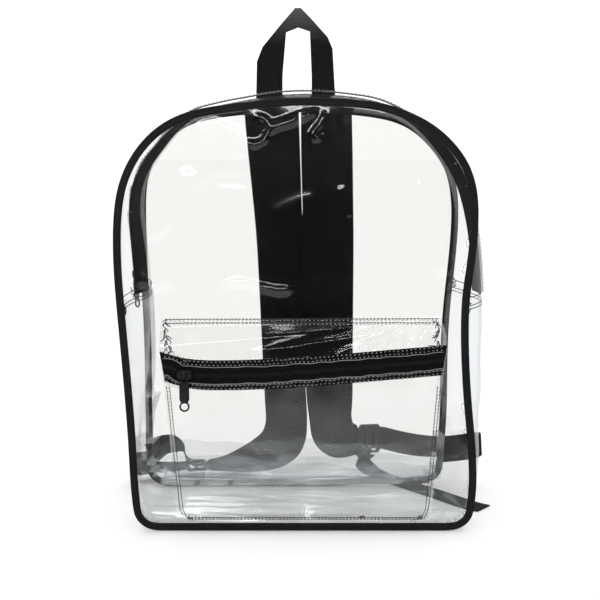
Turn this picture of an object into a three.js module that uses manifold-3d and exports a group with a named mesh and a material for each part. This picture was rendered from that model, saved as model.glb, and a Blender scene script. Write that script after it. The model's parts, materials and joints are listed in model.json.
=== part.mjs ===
import * as THREE from "three";
import { mergeVertices } from "three/addons/utils/BufferGeometryUtils.js";
import Module from "manifold-3d";

const wasm = await Module();
wasm.setup();

// A clear film backpack that stands on its base, with its carry handle pulled up to a peak.
// Millimetres. X runs to the right, Y to the back, Z up. The origin is the middle of the base.

// Bag body
const BAG_HEIGHT = 437;
const BACK_HEIGHT = 434;
const BAG_WIDTH = 360;
const BAG_DEPTH = 150;
const CORNER_RADIUS = 24;
const FILM = 1;
const PANEL_PUFF = 4;
const GAP = 0.3;
const SEAM_STEP = 0.2;

// Edge binding, a tape folded over the seam between panel and gusset
const BINDING_WIDTH = 8;
const BINDING_THICKNESS = 3.4;
const SEAM_INSET = 5;

// Zips: a woven tape with a raised coil, a slider and a flat pull with a ring end
const TAPE_WIDTH = 30;
const TAPE_THICKNESS = 1.2;
const COIL_WIDTH = 6;
const COIL_HEIGHT = 2;
const ZIP_END_RISE = 236;
const MAIN_SLIDER_RISE = ZIP_END_RISE + 20;
const SLIDER_WIDTH = 9;
const SLIDER_LENGTH = 14;
const SLIDER_THICKNESS = 2.6;
const BRIDGE_WIDTH = 3;
const BRIDGE_LENGTH = 8;
const BRIDGE_ROOM = 3.2;
const BRIDGE_BAR = 1.2;
const PULL_WIDTH = 9.5;
const PULL_LENGTH = 27;
const PULL_RING = 10;
const PULL_THICKNESS = 1.4;
const PULL_BAR = 1.4;
const PULL_WINDOW = 6.5;
const PULL_PLAY = 0.7;

// Front pocket
const POCKET_WIDTH = 278;
const POCKET_CENTRE = 5;
const POCKET_BOTTOM = 12;
const POCKET_TALL = 210;
const POCKET_DEPTH = 36;
const POCKET_SLOPE = 6;
const POCKET_ZIP_SAG = 10;
const POCKET_ZIP_RISE = 179.5;
const POCKET_SLIDER_SHARE = 0.08;

// Carry handle, one webbing loop sewn behind the back panel's top edge
const HANDLE_RISE = 538;
const HANDLE_SPAN = 90;
const HANDLE_WEBBING = 28;
const HANDLE_THICKNESS = 2.4;
const HANDLE_SEWN = 26;

// Padded shoulder straps, ladder locks and lower webbing
const STRAP_WIDTH = 56;
const STRAP_THICKNESS = 8;
const STRAP_TOP_DROP = 10;
const STRAP_BOW = 22;
const WEBBING_WIDTH = 27;
const WEBBING_THICKNESS = 1.6;
const LOCK_WIDTH = 34;
const LOCK_LENGTH = 24;
const LOCK_THICKNESS = 4;
const LOCK_BAR = 4;
const LOCK_SOFT = 2;
const LOCK_PLAY = 1.2;
const TAIL_ROOM = 36;
const TAIL_FADE = 30;
const TAIL_LIFT = WEBBING_THICKNESS + 1;

// The handle's outer edge from the left foot over the peak, then its inner edge back. Across is a
// share of half its span, webbing how many webbing widths further in, and rise a share of its
// height over the bag. The feet have no rise.
const HANDLE = [
  { across: -1.044, webbing: 0, rise: null },
  { across: -1, webbing: 0, rise: 0.45 },
  { across: -0.86, webbing: 0, rise: 0.6 },
  { across: -0.4, webbing: 0, rise: 0.84 },
  { across: -0.07, webbing: 0, rise: 1 },
  { across: 0.07, webbing: 0, rise: 1 },
  { across: 0.3, webbing: 0, rise: 0.9 },
  { across: 0.72, webbing: 0, rise: 0.7 },
  { across: 0.84, webbing: 0, rise: 0.58 },
  { across: 0.956, webbing: 0, rise: null },
  { across: 0.956, webbing: 1, rise: null },
  { across: 0.956, webbing: 1, rise: 0.3 },
  { across: 0.911, webbing: 1, rise: 0.76 },
  { across: 0, webbing: 0, rise: 0.8 },
  { across: -0.911, webbing: 1, rise: 0.75 },
  { across: -1, webbing: 1, rise: 0.3 },
  { across: -1, webbing: 1, rise: null },
];

// Places that follow from the sizes above
const HALF_WIDTH = BAG_WIDTH / 2;
const HALF_DEPTH = BAG_DEPTH / 2;
const BACK_FACE = HALF_DEPTH + BINDING_THICKNESS / 2 + GAP;
const GUSSET_SPAN = BAG_DEPTH - BINDING_THICKNESS - 2 * GAP;

// Mesh density
const BASE_STEPS = 12;
const CORNER_STEPS = 4;
const WALL_STEPS = 40;
const PANEL_RINGS = [0.35, 0.7, 0.9, 1];

// Half widths of the two bound outlines, as shares of half the bag's width. Rise is a share from
// the bottom corner to the top. The bag leans a little to the right and its top corners are dented.
const OUTLINE = [
  { rise: 0, frontLeft: 0.939, frontRight: 1.003, backLeft: 0.974, backRight: 0.931 },
  { rise: 0.063, frontLeft: 0.95, frontRight: 1.014, backLeft: 0.972, backRight: 0.936 },
  { rise: 0.16, frontLeft: 0.956, frontRight: 1, backLeft: 0.971, backRight: 0.947 },
  { rise: 0.293, frontLeft: 0.972, frontRight: 0.967, backLeft: 0.968, backRight: 0.944 },
  { rise: 0.426, frontLeft: 0.992, frontRight: 0.948, backLeft: 0.972, backRight: 0.95 },
  { rise: 0.535, frontLeft: 1.009, frontRight: 0.949, backLeft: 0.982, backRight: 0.971 },
  { rise: 0.62, frontLeft: 1.017, frontRight: 0.978, backLeft: 0.984, backRight: 0.988 },
  { rise: 0.717, frontLeft: 1.011, frontRight: 0.989, backLeft: 0.986, backRight: 0.996 },
  { rise: 0.777, frontLeft: 0.994, frontRight: 0.983, backLeft: 0.982, backRight: 0.985 },
  { rise: 0.828, frontLeft: 0.953, frontRight: 0.953, backLeft: 0.962, backRight: 0.961 },
  { rise: 0.877, frontLeft: 0.894, frontRight: 0.889, backLeft: 0.908, backRight: 0.894 },
  { rise: 0.915, frontLeft: 0.811, frontRight: 0.8, backLeft: 0.844, backRight: 0.815 },
  { rise: 0.947, frontLeft: 0.717, frontRight: 0.706, backLeft: 0.765, backRight: 0.735 },
  { rise: 0.969, frontLeft: 0.594, frontRight: 0.594, backLeft: 0.672, backRight: 0.645 },
  { rise: 0.986, frontLeft: 0.344, frontRight: 0.489, backLeft: 0.48, backRight: 0.47 },
  { rise: 1, frontLeft: 0, frontRight: 0, backLeft: 0, backRight: 0 },
];

// How far the gusset swells between the two outlines, and how far its front half stands out and
// its back half in, as shares of the depth. The left zip end is dented in, and the right side
// bulges out under it. Both sides lean where the zip is seen from the front.
const SWELLING = [
  { rise: 0, left: 0.05, right: 0.1, leanLeft: 0, leanRight: 0 },
  { rise: 0.063, left: 0.04, right: 0.11, leanLeft: 0, leanRight: 0 },
  { rise: 0.16, left: 0.015, right: 0.13, leanLeft: 0, leanRight: 0 },
  { rise: 0.293, left: -0.01, right: 0.165, leanLeft: 0.01, leanRight: 0.01 },
  { rise: 0.426, left: -0.04, right: 0.195, leanLeft: 0.025, leanRight: 0.025 },
  { rise: 0.535, left: -0.06, right: 0.15, leanLeft: 0.038, leanRight: 0.04 },
  { rise: 0.62, left: -0.048, right: 0.105, leanLeft: 0.03, leanRight: 0.03 },
  { rise: 0.717, left: -0.012, right: 0.045, leanLeft: 0.018, leanRight: 0.03 },
  { rise: 0.777, left: -0.014, right: 0.02, leanLeft: 0.026, leanRight: 0.04 },
  { rise: 0.828, left: -0.018, right: -0.005, leanLeft: 0.036, leanRight: 0.045 },
  { rise: 0.877, left: -0.05, right: -0.005, leanLeft: 0.042, leanRight: 0.045 },
  { rise: 0.915, left: -0.04, right: -0.005, leanLeft: 0.04, leanRight: 0.035 },
  { rise: 0.947, left: -0.015, right: 0.01, leanLeft: 0.03, leanRight: 0.02 },
  { rise: 0.969, left: 0.025, right: 0.03, leanLeft: 0.015, leanRight: 0.01 },
  { rise: 0.986, left: 0.055, right: 0.055, leanLeft: 0.005, leanRight: 0.005 },
  { rise: 1, left: 0.08, right: 0.08, leanLeft: 0, leanRight: 0 },
];
const BASE_SWELL = 0.08;

// The gusset passes from the front outline to the back one over this share of the depth, so its
// middle, and the zip on it, is turned towards the front.
const TURN_SPAN = 0.42;

// The pocket from its lower seam to its upper seam. Rise is a share of its height, except on the
// zip's two edges, which follow the zip. Left and right are shares of half its width, proud is a
// share of its depth, and sway says how much a row follows the sagging zip.
const POCKET = [
  { name: "bottom seam", rise: 0.0, left: 0.85, right: 0.91, proud: 0.0, sway: 0 },
  { name: "bottom fold", rise: 0.1, left: 0.9, right: 0.92, proud: 0.82, sway: 0 },
  { name: "face low", rise: 0.24, left: 0.915, right: 0.925, proud: 0.92, sway: 0.1 },
  { name: "face middle", rise: 0.45, left: 0.93, right: 0.935, proud: 0.98, sway: 0.4 },
  { name: "zip low", rise: null, edge: -0.5, left: 0.965, right: 0.97, proud: 1.0, sway: 1 },
  { name: "zip high", rise: null, edge: 0.5, left: 1.0, right: 1.0, proud: 0.96, sway: 1 },
  { name: "top fold", rise: 0.95, left: 1.0, right: 0.99, proud: 0.55, sway: 0.5 },
  { name: "top seam", rise: 1.0, left: 1.0, right: 0.97, proud: 0.0, sway: 0.15 },
];

// Centre lines of the two padded straps. Across is a share of half the bag's width, behind a
// share of the straps' bow, drop a share of the back's height and span a share of the straps'
// width. Lean turns the width from level, at 0, to upright, at 1, and tip lays it back.
const STRAP_LEFT = [
  { across: -0.163, behind: 0, drop: 0, span: 1.08, lean: 0, tip: 0 },
  { across: -0.149, behind: 0.2, drop: 0.093, span: 1.045, lean: 0, tip: 0 },
  { across: -0.13, behind: 0.6, drop: 0.225, span: 0.985, lean: 0, tip: 0 },
  { across: -0.116, behind: 0.85, drop: 0.333, span: 0.945, lean: 0, tip: 0 },
  { across: -0.105, behind: 1.1, drop: 0.5, span: 0.905, lean: 0, tip: 0 },
  { across: -0.093, behind: 1.0, drop: 0.664, span: 0.87, lean: 0, tip: 0 },
  { across: -0.081, behind: 0.9, drop: 0.776, span: 0.87, lean: 0, tip: 0 },
  { across: -0.075, behind: 0.92, drop: 0.85, span: 0.88, lean: 0.2, tip: 0 },
  { across: -0.115, behind: 1.1, drop: 0.905, span: 0.98, lean: 0.42, tip: 0.12 },
  { across: -0.235, behind: 1.3, drop: 0.938, span: 0.88, lean: 0.62, tip: 0.36 },
  { across: -0.375, behind: 1.4, drop: 0.957, span: 0.74, lean: 0.82, tip: 0.72 },
  { across: -0.49, behind: 1.4, drop: 0.966, span: 0.62, lean: 0.94, tip: 1.2 },
  { across: -0.6, behind: 1.35, drop: 0.968, span: 0.55, lean: 1.0, tip: 1.55 },
];
const STRAP_RIGHT = [
  { across: 0.175, behind: 0, drop: 0, span: 1.01, lean: 0, tip: 0 },
  { across: 0.179, behind: 0.2, drop: 0.093, span: 1.035, lean: 0, tip: 0 },
  { across: 0.187, behind: 0.6, drop: 0.225, span: 1.035, lean: 0, tip: 0 },
  { across: 0.194, behind: 0.85, drop: 0.333, span: 1.03, lean: 0, tip: 0 },
  { across: 0.197, behind: 1.1, drop: 0.5, span: 1.02, lean: 0, tip: 0 },
  { across: 0.2, behind: 1.0, drop: 0.664, span: 0.995, lean: 0, tip: 0 },
  { across: 0.206, behind: 0.9, drop: 0.776, span: 0.96, lean: 0.02, tip: 0 },
  { across: 0.213, behind: 0.85, drop: 0.835, span: 0.88, lean: 0.15, tip: 0 },
  { across: 0.243, behind: 0.85, drop: 0.878, span: 0.95, lean: 0.48, tip: 0 },
  { across: 0.32, behind: 0.95, drop: 0.888, span: 0.8, lean: 0.84, tip: 0 },
  { across: 0.4, behind: 1.05, drop: 0.888, span: 0.6, lean: 1.0, tip: 0 },
];

// Lower webbing from each ladder lock out past the bag's back corner and round to the seam.
const WEBBING_LEFT = [
  { across: -0.8, behind: 24, rise: 15, upright: 0.42 },
  { across: -0.94, behind: 21, rise: 16, upright: 0.5 },
  { across: -1.04, behind: 16, rise: 18, upright: 0.7 },
  { across: -1.065, behind: 11, rise: 20, upright: 0.85 },
  { across: -1.04, behind: 6, rise: 23, upright: 1.0 },
  { across: -0.985, behind: 2, rise: 26, upright: 1.0 },
  { across: -0.9, behind: 1, rise: 29, upright: 1.0 },
];
const WEBBING_RIGHT = [
  { across: 0.64, behind: 27, rise: 45, upright: 1.0 },
  { across: 0.76, behind: 26, rise: 41, upright: 0.95 },
  { across: 0.9, behind: 25, rise: 39, upright: 0.85 },
  { across: 1.04, behind: 22, rise: 41, upright: 0.9 },
  { across: 1.16, behind: 18, rise: 45, upright: 1.0 },
  { across: 1.185, behind: 13, rise: 46, upright: 1.0 },
  { across: 1.16, behind: 8, rise: 44, upright: 1.0 },
  { across: 1.06, behind: 4, rise: 42, upright: 1.0 },
  { across: 0.9, behind: 1, rise: 40, upright: 1.0 },
];

// Free tails. The right one drops to the floor and runs under the bag's back corner.
const ON_FLOOR = WEBBING_THICKNESS / 2;
const TAIL_RIGHT = [
  { across: 0.44, deep: 1.72, rise: 25, upright: 0.6 },
  { across: 0.43, deep: 1.76, rise: 13, upright: 0.3 },
  { across: 0.48, deep: 1.66, rise: 4, upright: 0.05 },
  { across: 0.56, deep: 1.45, rise: ON_FLOOR, upright: 0 },
  { across: 0.66, deep: 1.15, rise: ON_FLOOR, upright: 0 },
  { across: 0.78, deep: 0.82, rise: ON_FLOOR, upright: 0 },
  { across: 0.92, deep: 0.42, rise: ON_FLOOR, upright: 0 },
  { across: 1.04, deep: 0.06, rise: ON_FLOOR, upright: 0 },
  { across: 1.12, deep: -0.1, rise: ON_FLOOR, upright: 0 },
];
const TAIL_LEFT = [
  { across: -0.76, deep: 1.62, rise: 31, upright: 0.45 },
  { across: -0.815, deep: 1.62, rise: 36, upright: 0.65 },
  { across: -0.87, deep: 1.58, rise: 37.5, upright: 0.8 },
  { across: -0.925, deep: 1.54, rise: 34, upright: 0.95 },
  { across: -0.965, deep: 1.52, rise: 28, upright: 1.0 },
];

// Finishes
const finish = (name, color, roughness, metalness) =>
  new THREE.MeshStandardMaterial({ name, color, roughness, metalness });
const CLEAR_FILM = finish("clear_film", 0xeef0f0, 0.12, 0);
const BLACK_TAPE = finish("black_binding", 0x151516, 0.7, 0);
const ZIP_TAPE = finish("zip_tape", 0x101012, 0.8, 0);
const ZIP_COIL = finish("zip_coil", 0x1a1a1c, 0.45, 0);
const ZIP_METAL = finish("black_metal", 0x17181a, 0.35, 0.7);
const WEBBING = finish("black_webbing", 0x232426, 0.75, 0);
const STRAP_CLOTH = finish("strap_cloth", 0x101011, 0.85, 0);
const BLACK_PLASTIC = finish("black_plastic", 0x141415, 0.45, 0);

// Small helpers
const point = (x, y, z) => new THREE.Vector3(x, y, z);
const mix = (a, b, t) => a + (b - a) * t;
const ease = (t) => {
  const c = Math.min(Math.max(t, 0), 1);
  return c * c * (3 - 2 * c);
};

// Turns corner lists and triangles into a geometry whose faces point out.
function closedGeometry(corners, faces) {
  let volume = 0;
  for (const [a, b, c] of faces) {
    volume += corners[a].dot(corners[b].clone().cross(corners[c]));
  }
  const turned = volume < 0 ? faces.map(([a, b, c]) => [a, c, b]) : faces;
  const geometry = new THREE.BufferGeometry();
  geometry.setAttribute("position", new THREE.Float32BufferAttribute(corners.flatMap((p) => p.toArray()), 3));
  geometry.setIndex(turned.flat());
  geometry.computeVertexNormals();
  return geometry;
}

// A solid through sections of equal point count, closed into a ring or capped at its ends.
function loft(sections, ring = false) {
  const count = sections[0].length;
  const corners = sections.flat();
  const faces = [];
  const last = ring ? sections.length : sections.length - 1;
  for (let i = 0; i < last; i += 1) {
    const next = (i + 1) % sections.length;
    for (let j = 0; j < count; j += 1) {
      const k = (j + 1) % count;
      faces.push([i * count + j, next * count + j, next * count + k]);
      faces.push([i * count + j, next * count + k, i * count + k]);
    }
  }
  if (!ring) {
    const end = (sections.length - 1) * count;
    for (let j = 1; j < count - 1; j += 1) {
      faces.push([0, j, j + 1]);
      faces.push([end, end + j + 1, end + j]);
    }
  }
  return closedGeometry(corners, faces);
}

// A thin wall between two grids of points, closed along its four edges.
function wall(outer, inner) {
  const rows = outer.length;
  const count = outer[0].length;
  const corners = [...outer.flat(), ...inner.flat()];
  const under = rows * count;
  const faces = [];
  const quad = (a, b, c, d) => faces.push([a, b, c], [a, c, d]);
  for (let i = 0; i < rows - 1; i += 1) {
    for (let j = 0; j < count - 1; j += 1) {
      const a = i * count + j;
      quad(a, a + 1, a + count + 1, a + count);
      quad(under + a, under + a + count, under + a + count + 1, under + a + 1);
    }
  }
  for (let j = 0; j < count - 1; j += 1) {
    const far = (rows - 1) * count + j;
    quad(j, under + j, under + j + 1, j + 1);
    quad(far, far + 1, under + far + 1, under + far);
  }
  for (let i = 0; i < rows - 1; i += 1) {
    const near = i * count;
    const side = near + count - 1;
    quad(near, near + count, under + near + count, under + near);
    quad(side, under + side, under + side + count, side + count);
  }
  return closedGeometry(corners, faces);
}

// A second grid that lies a thickness away along the first one's own normals.
function offsetGrid(grid, thickness, towards) {
  const rows = grid.length;
  const count = grid[0].length;
  return grid.map((row, i) =>
    row.map((p, j) => {
      const along = grid[Math.min(i + 1, rows - 1)][j].clone().sub(grid[Math.max(i - 1, 0)][j]);
      const across = row[Math.min(j + 1, count - 1)].clone().sub(row[Math.max(j - 1, 0)]);
      const normal = along.cross(across).normalize();
      const sign = normal.dot(towards) < 0 ? -1 : 1;
      return p.clone().addScaledVector(normal, sign * thickness);
    }),
  );
}

// Some rows of a grid, drawn in by a gap at both ends.
function slicedRows(grid, from, to) {
  const rows = grid.slice(from, to + 1).map((row) => row.map((p) => p.clone()));
  const drawIn = (row, next) => row.forEach((p, j) => p.lerp(next[j], GAP / p.distanceTo(next[j])));
  drawIn(rows[0], rows[1]);
  drawIn(rows[rows.length - 1], rows[rows.length - 2]);
  return rows;
}

// Route of the right tail on the floor, and how far the bag's base rises over it.
const tailPlace = (row) => point(row.across * HALF_WIDTH, row.deep * HALF_DEPTH, row.rise);
const TAIL_ON_FLOOR = TAIL_RIGHT.filter((row) => row.upright === 0).map(tailPlace);

function baseRise(x, y) {
  const here = point(x, y, 0);
  let nearest = Infinity;
  for (let i = 0; i < TAIL_ON_FLOOR.length - 1; i += 1) {
    const from = TAIL_ON_FLOOR[i].clone().setZ(0);
    const to = TAIL_ON_FLOOR[i + 1].clone().setZ(0);
    const close = new THREE.Line3(from, to).closestPointToPoint(here, true, point(0, 0, 0));
    nearest = Math.min(nearest, close.distanceTo(here));
  }
  return TAIL_LIFT * ease(1 - (nearest - TAIL_ROOM) / TAIL_FADE);
}

// The bound outline of one panel: a base lifted where the tail runs under it, round corners,
// then a smooth curve over the top.
function outlineOf(left, right, height, y) {
  const width = (row, side) => row[side] * HALF_WIDTH;
  const rise = (row) => mix(CORNER_RADIUS, height, row.rise);
  const places = [
    ...OUTLINE.map((row) => point(-width(row, left), y, rise(row))),
    ...OUTLINE.slice(0, -1).reverse().map((row) => point(width(row, right), y, rise(row))),
  ];
  const footLeft = width(OUTLINE[0], left) - CORNER_RADIUS;
  const footRight = width(OUTLINE[0], right) - CORNER_RADIUS;
  const ring = [];
  for (let i = 0; i < BASE_STEPS; i += 1) {
    ring.push(point(-footLeft * (i / BASE_STEPS), y, 0));
  }
  for (let i = 0; i < CORNER_STEPS; i += 1) {
    const turn = (Math.PI / 2) * (i / CORNER_STEPS);
    const x = -footLeft - CORNER_RADIUS * Math.sin(turn);
    ring.push(point(x, y, CORNER_RADIUS * (1 - Math.cos(turn))));
  }
  const curve = new THREE.CatmullRomCurve3(places, false, "centripetal");
  ring.push(...curve.getSpacedPoints(WALL_STEPS));
  for (let i = 1; i <= CORNER_STEPS; i += 1) {
    const turn = (Math.PI / 2) * (i / CORNER_STEPS);
    const x = footRight + CORNER_RADIUS * Math.cos(turn);
    ring.push(point(x, y, CORNER_RADIUS * (1 - Math.sin(turn))));
  }
  for (let i = 1; i < BASE_STEPS; i += 1) {
    ring.push(point(footRight * (1 - i / BASE_STEPS), y, 0));
  }
  for (const place of ring.filter((p) => p.z < CORNER_RADIUS)) {
    place.z += baseRise(place.x, y);
  }
  return ring;
}

// Outward normals of a closed outline in its own plane.
function outlineNormals(ring) {
  return ring.map((_, i) => {
    const before = ring[(i + ring.length - 1) % ring.length];
    const after = ring[(i + 1) % ring.length];
    const along = after.clone().sub(before).normalize();
    return point(-along.z, 0, along.x);
  });
}

const FRONT = outlineOf("frontLeft", "frontRight", BAG_HEIGHT, -HALF_DEPTH);
const BACK = outlineOf("backLeft", "backRight", BACK_HEIGHT, HALF_DEPTH);
const FRONT_OUT = outlineNormals(FRONT);
const BACK_OUT = outlineNormals(BACK);
const COUNT = FRONT.length;
const WALL_START = BASE_STEPS + CORNER_STEPS;
const WALL_END = WALL_START + WALL_STEPS;

// Swell and lean of the gusset at each outline point.
function swellAt(index) {
  if (index < WALL_START || index > WALL_END) {
    const nearLeft = index < COUNT / 2;
    const foot = nearLeft ? SWELLING[0].left : SWELLING[0].right;
    const away = nearLeft ? WALL_START - index : index - WALL_END;
    return { swell: BAG_DEPTH * mix(foot, BASE_SWELL, ease(away / (CORNER_STEPS + 2))), lean: 0 };
  }
  const left = FRONT[index].x < 0;
  const rise = (FRONT[index].z - CORNER_RADIUS) / (BAG_HEIGHT - CORNER_RADIUS);
  const above = SWELLING.findIndex((row) => row.rise >= rise - 1e-6);
  const upper = SWELLING[Math.max(above, 1)];
  const lower = SWELLING[Math.max(above, 1) - 1];
  const t = (rise - lower.rise) / (upper.rise - lower.rise);
  const between = (column) => BAG_DEPTH * mix(lower[column], upper[column], t);
  return left
    ? { swell: between("left"), lean: between("leanLeft") }
    : { swell: between("right"), lean: between("leanRight") };
}
const SWELL = FRONT.map((_, index) => swellAt(index));

// A point of the gusset. Turn counts outline points, depth runs from 0 at the front binding
// to 1 at the back one, and lift stands off along the outward normal.
function gussetPoint(turn, depth, lift = 0) {
  const low = Math.floor(turn);
  const share = turn - low;
  const at = (list, i) => list[((i % COUNT) + COUNT) % COUNT];
  const blend = (list) => at(list, low).clone().lerp(at(list, low + 1), share);
  const turned = ease((depth - 0.5) / TURN_SPAN + 0.5);
  const place = blend(FRONT).lerp(blend(BACK), turned);
  const out = blend(FRONT_OUT).lerp(blend(BACK_OUT), turned).normalize();
  const swell = mix(at(SWELL, low).swell, at(SWELL, low + 1).swell, share) * 4 * depth * (1 - depth);
  const lean = mix(at(SWELL, low).lean, at(SWELL, low + 1).lean, share) * Math.sin(2 * Math.PI * depth);
  place.addScaledVector(out, swell + lean - SEAM_INSET);
  place.y = mix(-GUSSET_SPAN / 2, GUSSET_SPAN / 2, depth);
  const floor = baseRise(place.x, place.y);
  place.z = Math.max(place.z, floor);
  return place.addScaledVector(out, lift);
}

// A strip of the gusset between two turns and two depths, with its wall inwards.
function gussetStrip(turns, depths, thickness, lift = 0) {
  const outer = turns.map((turn) => depths.map((depth) => gussetPoint(turn, depth, lift)));
  const inner = turns.map((turn) => depths.map((depth) => gussetPoint(turn, depth, lift - thickness)));
  return wall(outer, inner);
}

// Evenly spaced numbers from one end to the other, both included.
function steps(from, to, count) {
  return Array.from({ length: count + 1 }, (_, i) => mix(from, to, i / count));
}

// Where the gusset's middle line passes a height on one side.
function turnAtRise(rise, left) {
  for (let turn = WALL_START; turn < WALL_END; turn += SEAM_STEP) {
    const here = gussetPoint(turn, 0.5);
    const next = gussetPoint(turn + SEAM_STEP, 0.5);
    const passes = left ? here.z < rise && next.z >= rise : here.z > rise && next.z <= rise;
    if (passes && (left ? here.x < 0 : here.x > 0)) {
      return turn + (SEAM_STEP * (rise - here.z)) / (next.z - here.z);
    }
  }
  return left ? WALL_START : WALL_END;
}

const ZIP_LEFT = turnAtRise(ZIP_END_RISE, true);
const ZIP_RIGHT = turnAtRise(ZIP_END_RISE, false);
const TURN_GAP = GAP / gussetPoint(ZIP_LEFT, 0.5).distanceTo(gussetPoint(ZIP_LEFT + 1, 0.5));
const TAPE_FRONT = 0.5 - TAPE_WIDTH / GUSSET_SPAN / 2;
const TAPE_BACK = 0.5 + TAPE_WIDTH / GUSSET_SPAN / 2;
const DEPTH_GAP = GAP / GUSSET_SPAN;
const COIL_SHARE = COIL_WIDTH / GUSSET_SPAN / 2;

// Whole outline turns between two ends, with the ends themselves.
function turnsBetween(from, to) {
  const inside = [];
  for (let turn = Math.ceil(from + 0.2); turn < to - 0.2; turn += 1) {
    inside.push(turn);
  }
  return [from, ...inside, to];
}

// How far a panel's film stands out from its flat, most in the middle.
function panelPuff(x, z, height) {
  const wide = Math.max(1 - (x / HALF_WIDTH) ** 2, 0);
  const tall = Math.max(1 - ((2 * z) / height - 1) ** 2, 0);
  return PANEL_PUFF * wide * tall;
}

// A film panel inside its binding, as rings of one outline round a middle point.
function panelGeometry(ring, normals, height, side) {
  const y = (x, z) => side * (HALF_DEPTH + panelPuff(x, z, height));
  const edge = ring.map((p, i) => p.clone().addScaledVector(normals[i], -BINDING_WIDTH - GAP));
  const middle = point(0, 0, height / 2);
  const corners = [];
  for (const face of [FILM / 2, -FILM / 2]) {
    corners.push(point(middle.x, y(middle.x, middle.z) + side * face, middle.z));
    for (const scale of PANEL_RINGS) {
      for (const p of edge) {
        const x = mix(middle.x, p.x, scale);
        const z = mix(middle.z, p.z, scale);
        corners.push(point(x, y(x, z) + side * face, z));
      }
    }
  }
  const under = corners.length / 2;
  const faces = [];
  for (let j = 0; j < COUNT; j += 1) {
    const k = (j + 1) % COUNT;
    faces.push([0, 1 + j, 1 + k], [under, under + 1 + k, under + 1 + j]);
    for (let i = 0; i < PANEL_RINGS.length - 1; i += 1) {
      const a = 1 + i * COUNT;
      const b = a + COUNT;
      faces.push([a + j, b + j, b + k], [a + j, b + k, a + k]);
      faces.push([under + a + j, under + b + k, under + b + j]);
      faces.push([under + a + j, under + a + k, under + b + k]);
    }
    const rim = 1 + (PANEL_RINGS.length - 1) * COUNT;
    faces.push([rim + j, under + rim + j, under + rim + k], [rim + j, under + rim + k, rim + k]);
  }
  return closedGeometry(corners, faces);
}

// Binding: a soft-cornered band along the whole outline.
function bindingGeometry(ring, normals) {
  const half = BINDING_THICKNESS / 2;
  const soft = half / 2;
  const profile = [
    { out: -BINDING_WIDTH, along: -soft },
    { out: -BINDING_WIDTH, along: soft },
    { out: -BINDING_WIDTH + soft, along: half },
    { out: -soft, along: half },
    { out: 0, along: soft },
    { out: 0, along: -soft },
    { out: -soft, along: -half },
    { out: -BINDING_WIDTH + soft, along: -half },
  ];
  const sections = ring.map((p, i) => {
    return profile.map(({ out, along }) => {
      const corner = p.clone().addScaledVector(normals[i], out);
      return corner.add(point(0, along, 0));
    });
  });
  return loft(sections, true);
}

// Pocket places. Across runs from 0 at the left side to 1 at the right.
function pocketZipRise(across) {
  const sag = POCKET_ZIP_SAG * Math.sin(Math.PI * Math.sqrt(across));
  return POCKET_ZIP_RISE + POCKET_SLOPE * across - sag;
}

function pocketPoint(row, across, lift = 0) {
  const half = POCKET_WIDTH / 2;
  const x = POCKET_CENTRE + mix(-row.left * half, row.right * half, across);
  const sway = pocketZipRise(across) - POCKET_ZIP_RISE;
  const base = row.rise === null
    ? POCKET_ZIP_RISE + row.edge * TAPE_WIDTH
    : POCKET_BOTTOM + row.rise * POCKET_TALL;
  const z = base + row.sway * sway;
  const panel = HALF_DEPTH + panelPuff(x, z, BAG_HEIGHT) + FILM / 2 + 2 * GAP + FILM;
  return point(x, -(panel + row.proud * POCKET_DEPTH + lift), z);
}

// A row of the pocket between two others.
function pocketRow(from, to, share) {
  const blend = (key) => mix(from[key], to[key], share);
  const zip = from.rise === null && to.rise === null;
  return {
    rise: zip ? null : blend("rise"),
    edge: zip ? blend("edge") : 0,
    left: blend("left"),
    right: blend("right"),
    proud: blend("proud"),
    sway: blend("sway"),
  };
}

// The same row with its height written as a share, so that it can be mixed with the others.
function plainRow(name) {
  const row = POCKET.find((entry) => entry.name === name);
  if (row.rise !== null) {
    return row;
  }
  const rise = (POCKET_ZIP_RISE + row.edge * TAPE_WIDTH - POCKET_BOTTOM) / POCKET_TALL;
  return { ...row, rise };
}

const POCKET_ACROSS = steps(0, 1, 12);
const TOWARDS_BACK = point(0, 1, 0);

// One piece of the pocket between two named rows. All pieces share the folds' mitres.
function pocketPiece(first, last, thickness = FILM) {
  const rows = POCKET.map((row) => plainRow(row.name));
  const outer = rows.map((row) => POCKET_ACROSS.map((across) => pocketPoint(row, across)));
  const inner = offsetGrid(outer, thickness, TOWARDS_BACK);
  const from = rows.findIndex((row) => row.name === first);
  const to = rows.findIndex((row) => row.name === last);
  return wall(slicedRows(outer, from, to), slicedRows(inner, from, to));
}

// The side wall of the pocket, from the face's edge back to the front panel.
function pocketSide(right) {
  const across = right ? 1 : 0;
  const out = right ? 1 : -1;
  const rows = POCKET.map((row) => plainRow(row.name));
  const grid = rows.map((row) => {
    const rim = pocketPoint(row, across);
    const shut = pocketPoint({ ...row, proud: 0 }, across);
    rim.x += out * (GAP + FILM);
    shut.x += out * (GAP + FILM);
    rim.y += GAP;
    shut.y += FILM + GAP;
    return steps(0, 1, 2).map((share) => rim.clone().lerp(shut, share));
  });
  const inner = grid.map((row) => row.map((p) => p.clone().add(point(-out * FILM, 0, 0))));
  return wall(grid, inner);
}

// A raised coil along the pocket's zip.
function pocketCoil() {
  const low = plainRow("zip low");
  const high = plainRow("zip high");
  const half = COIL_WIDTH / TAPE_WIDTH / 2;
  const grid = (lift) => [0.5 - half, 0.5, 0.5 + half].map((share) =>
    POCKET_ACROSS.map((across) => pocketPoint(pocketRow(low, high, share), across, lift)));
  return wall(grid(GAP + COIL_HEIGHT), grid(GAP));
}

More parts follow.
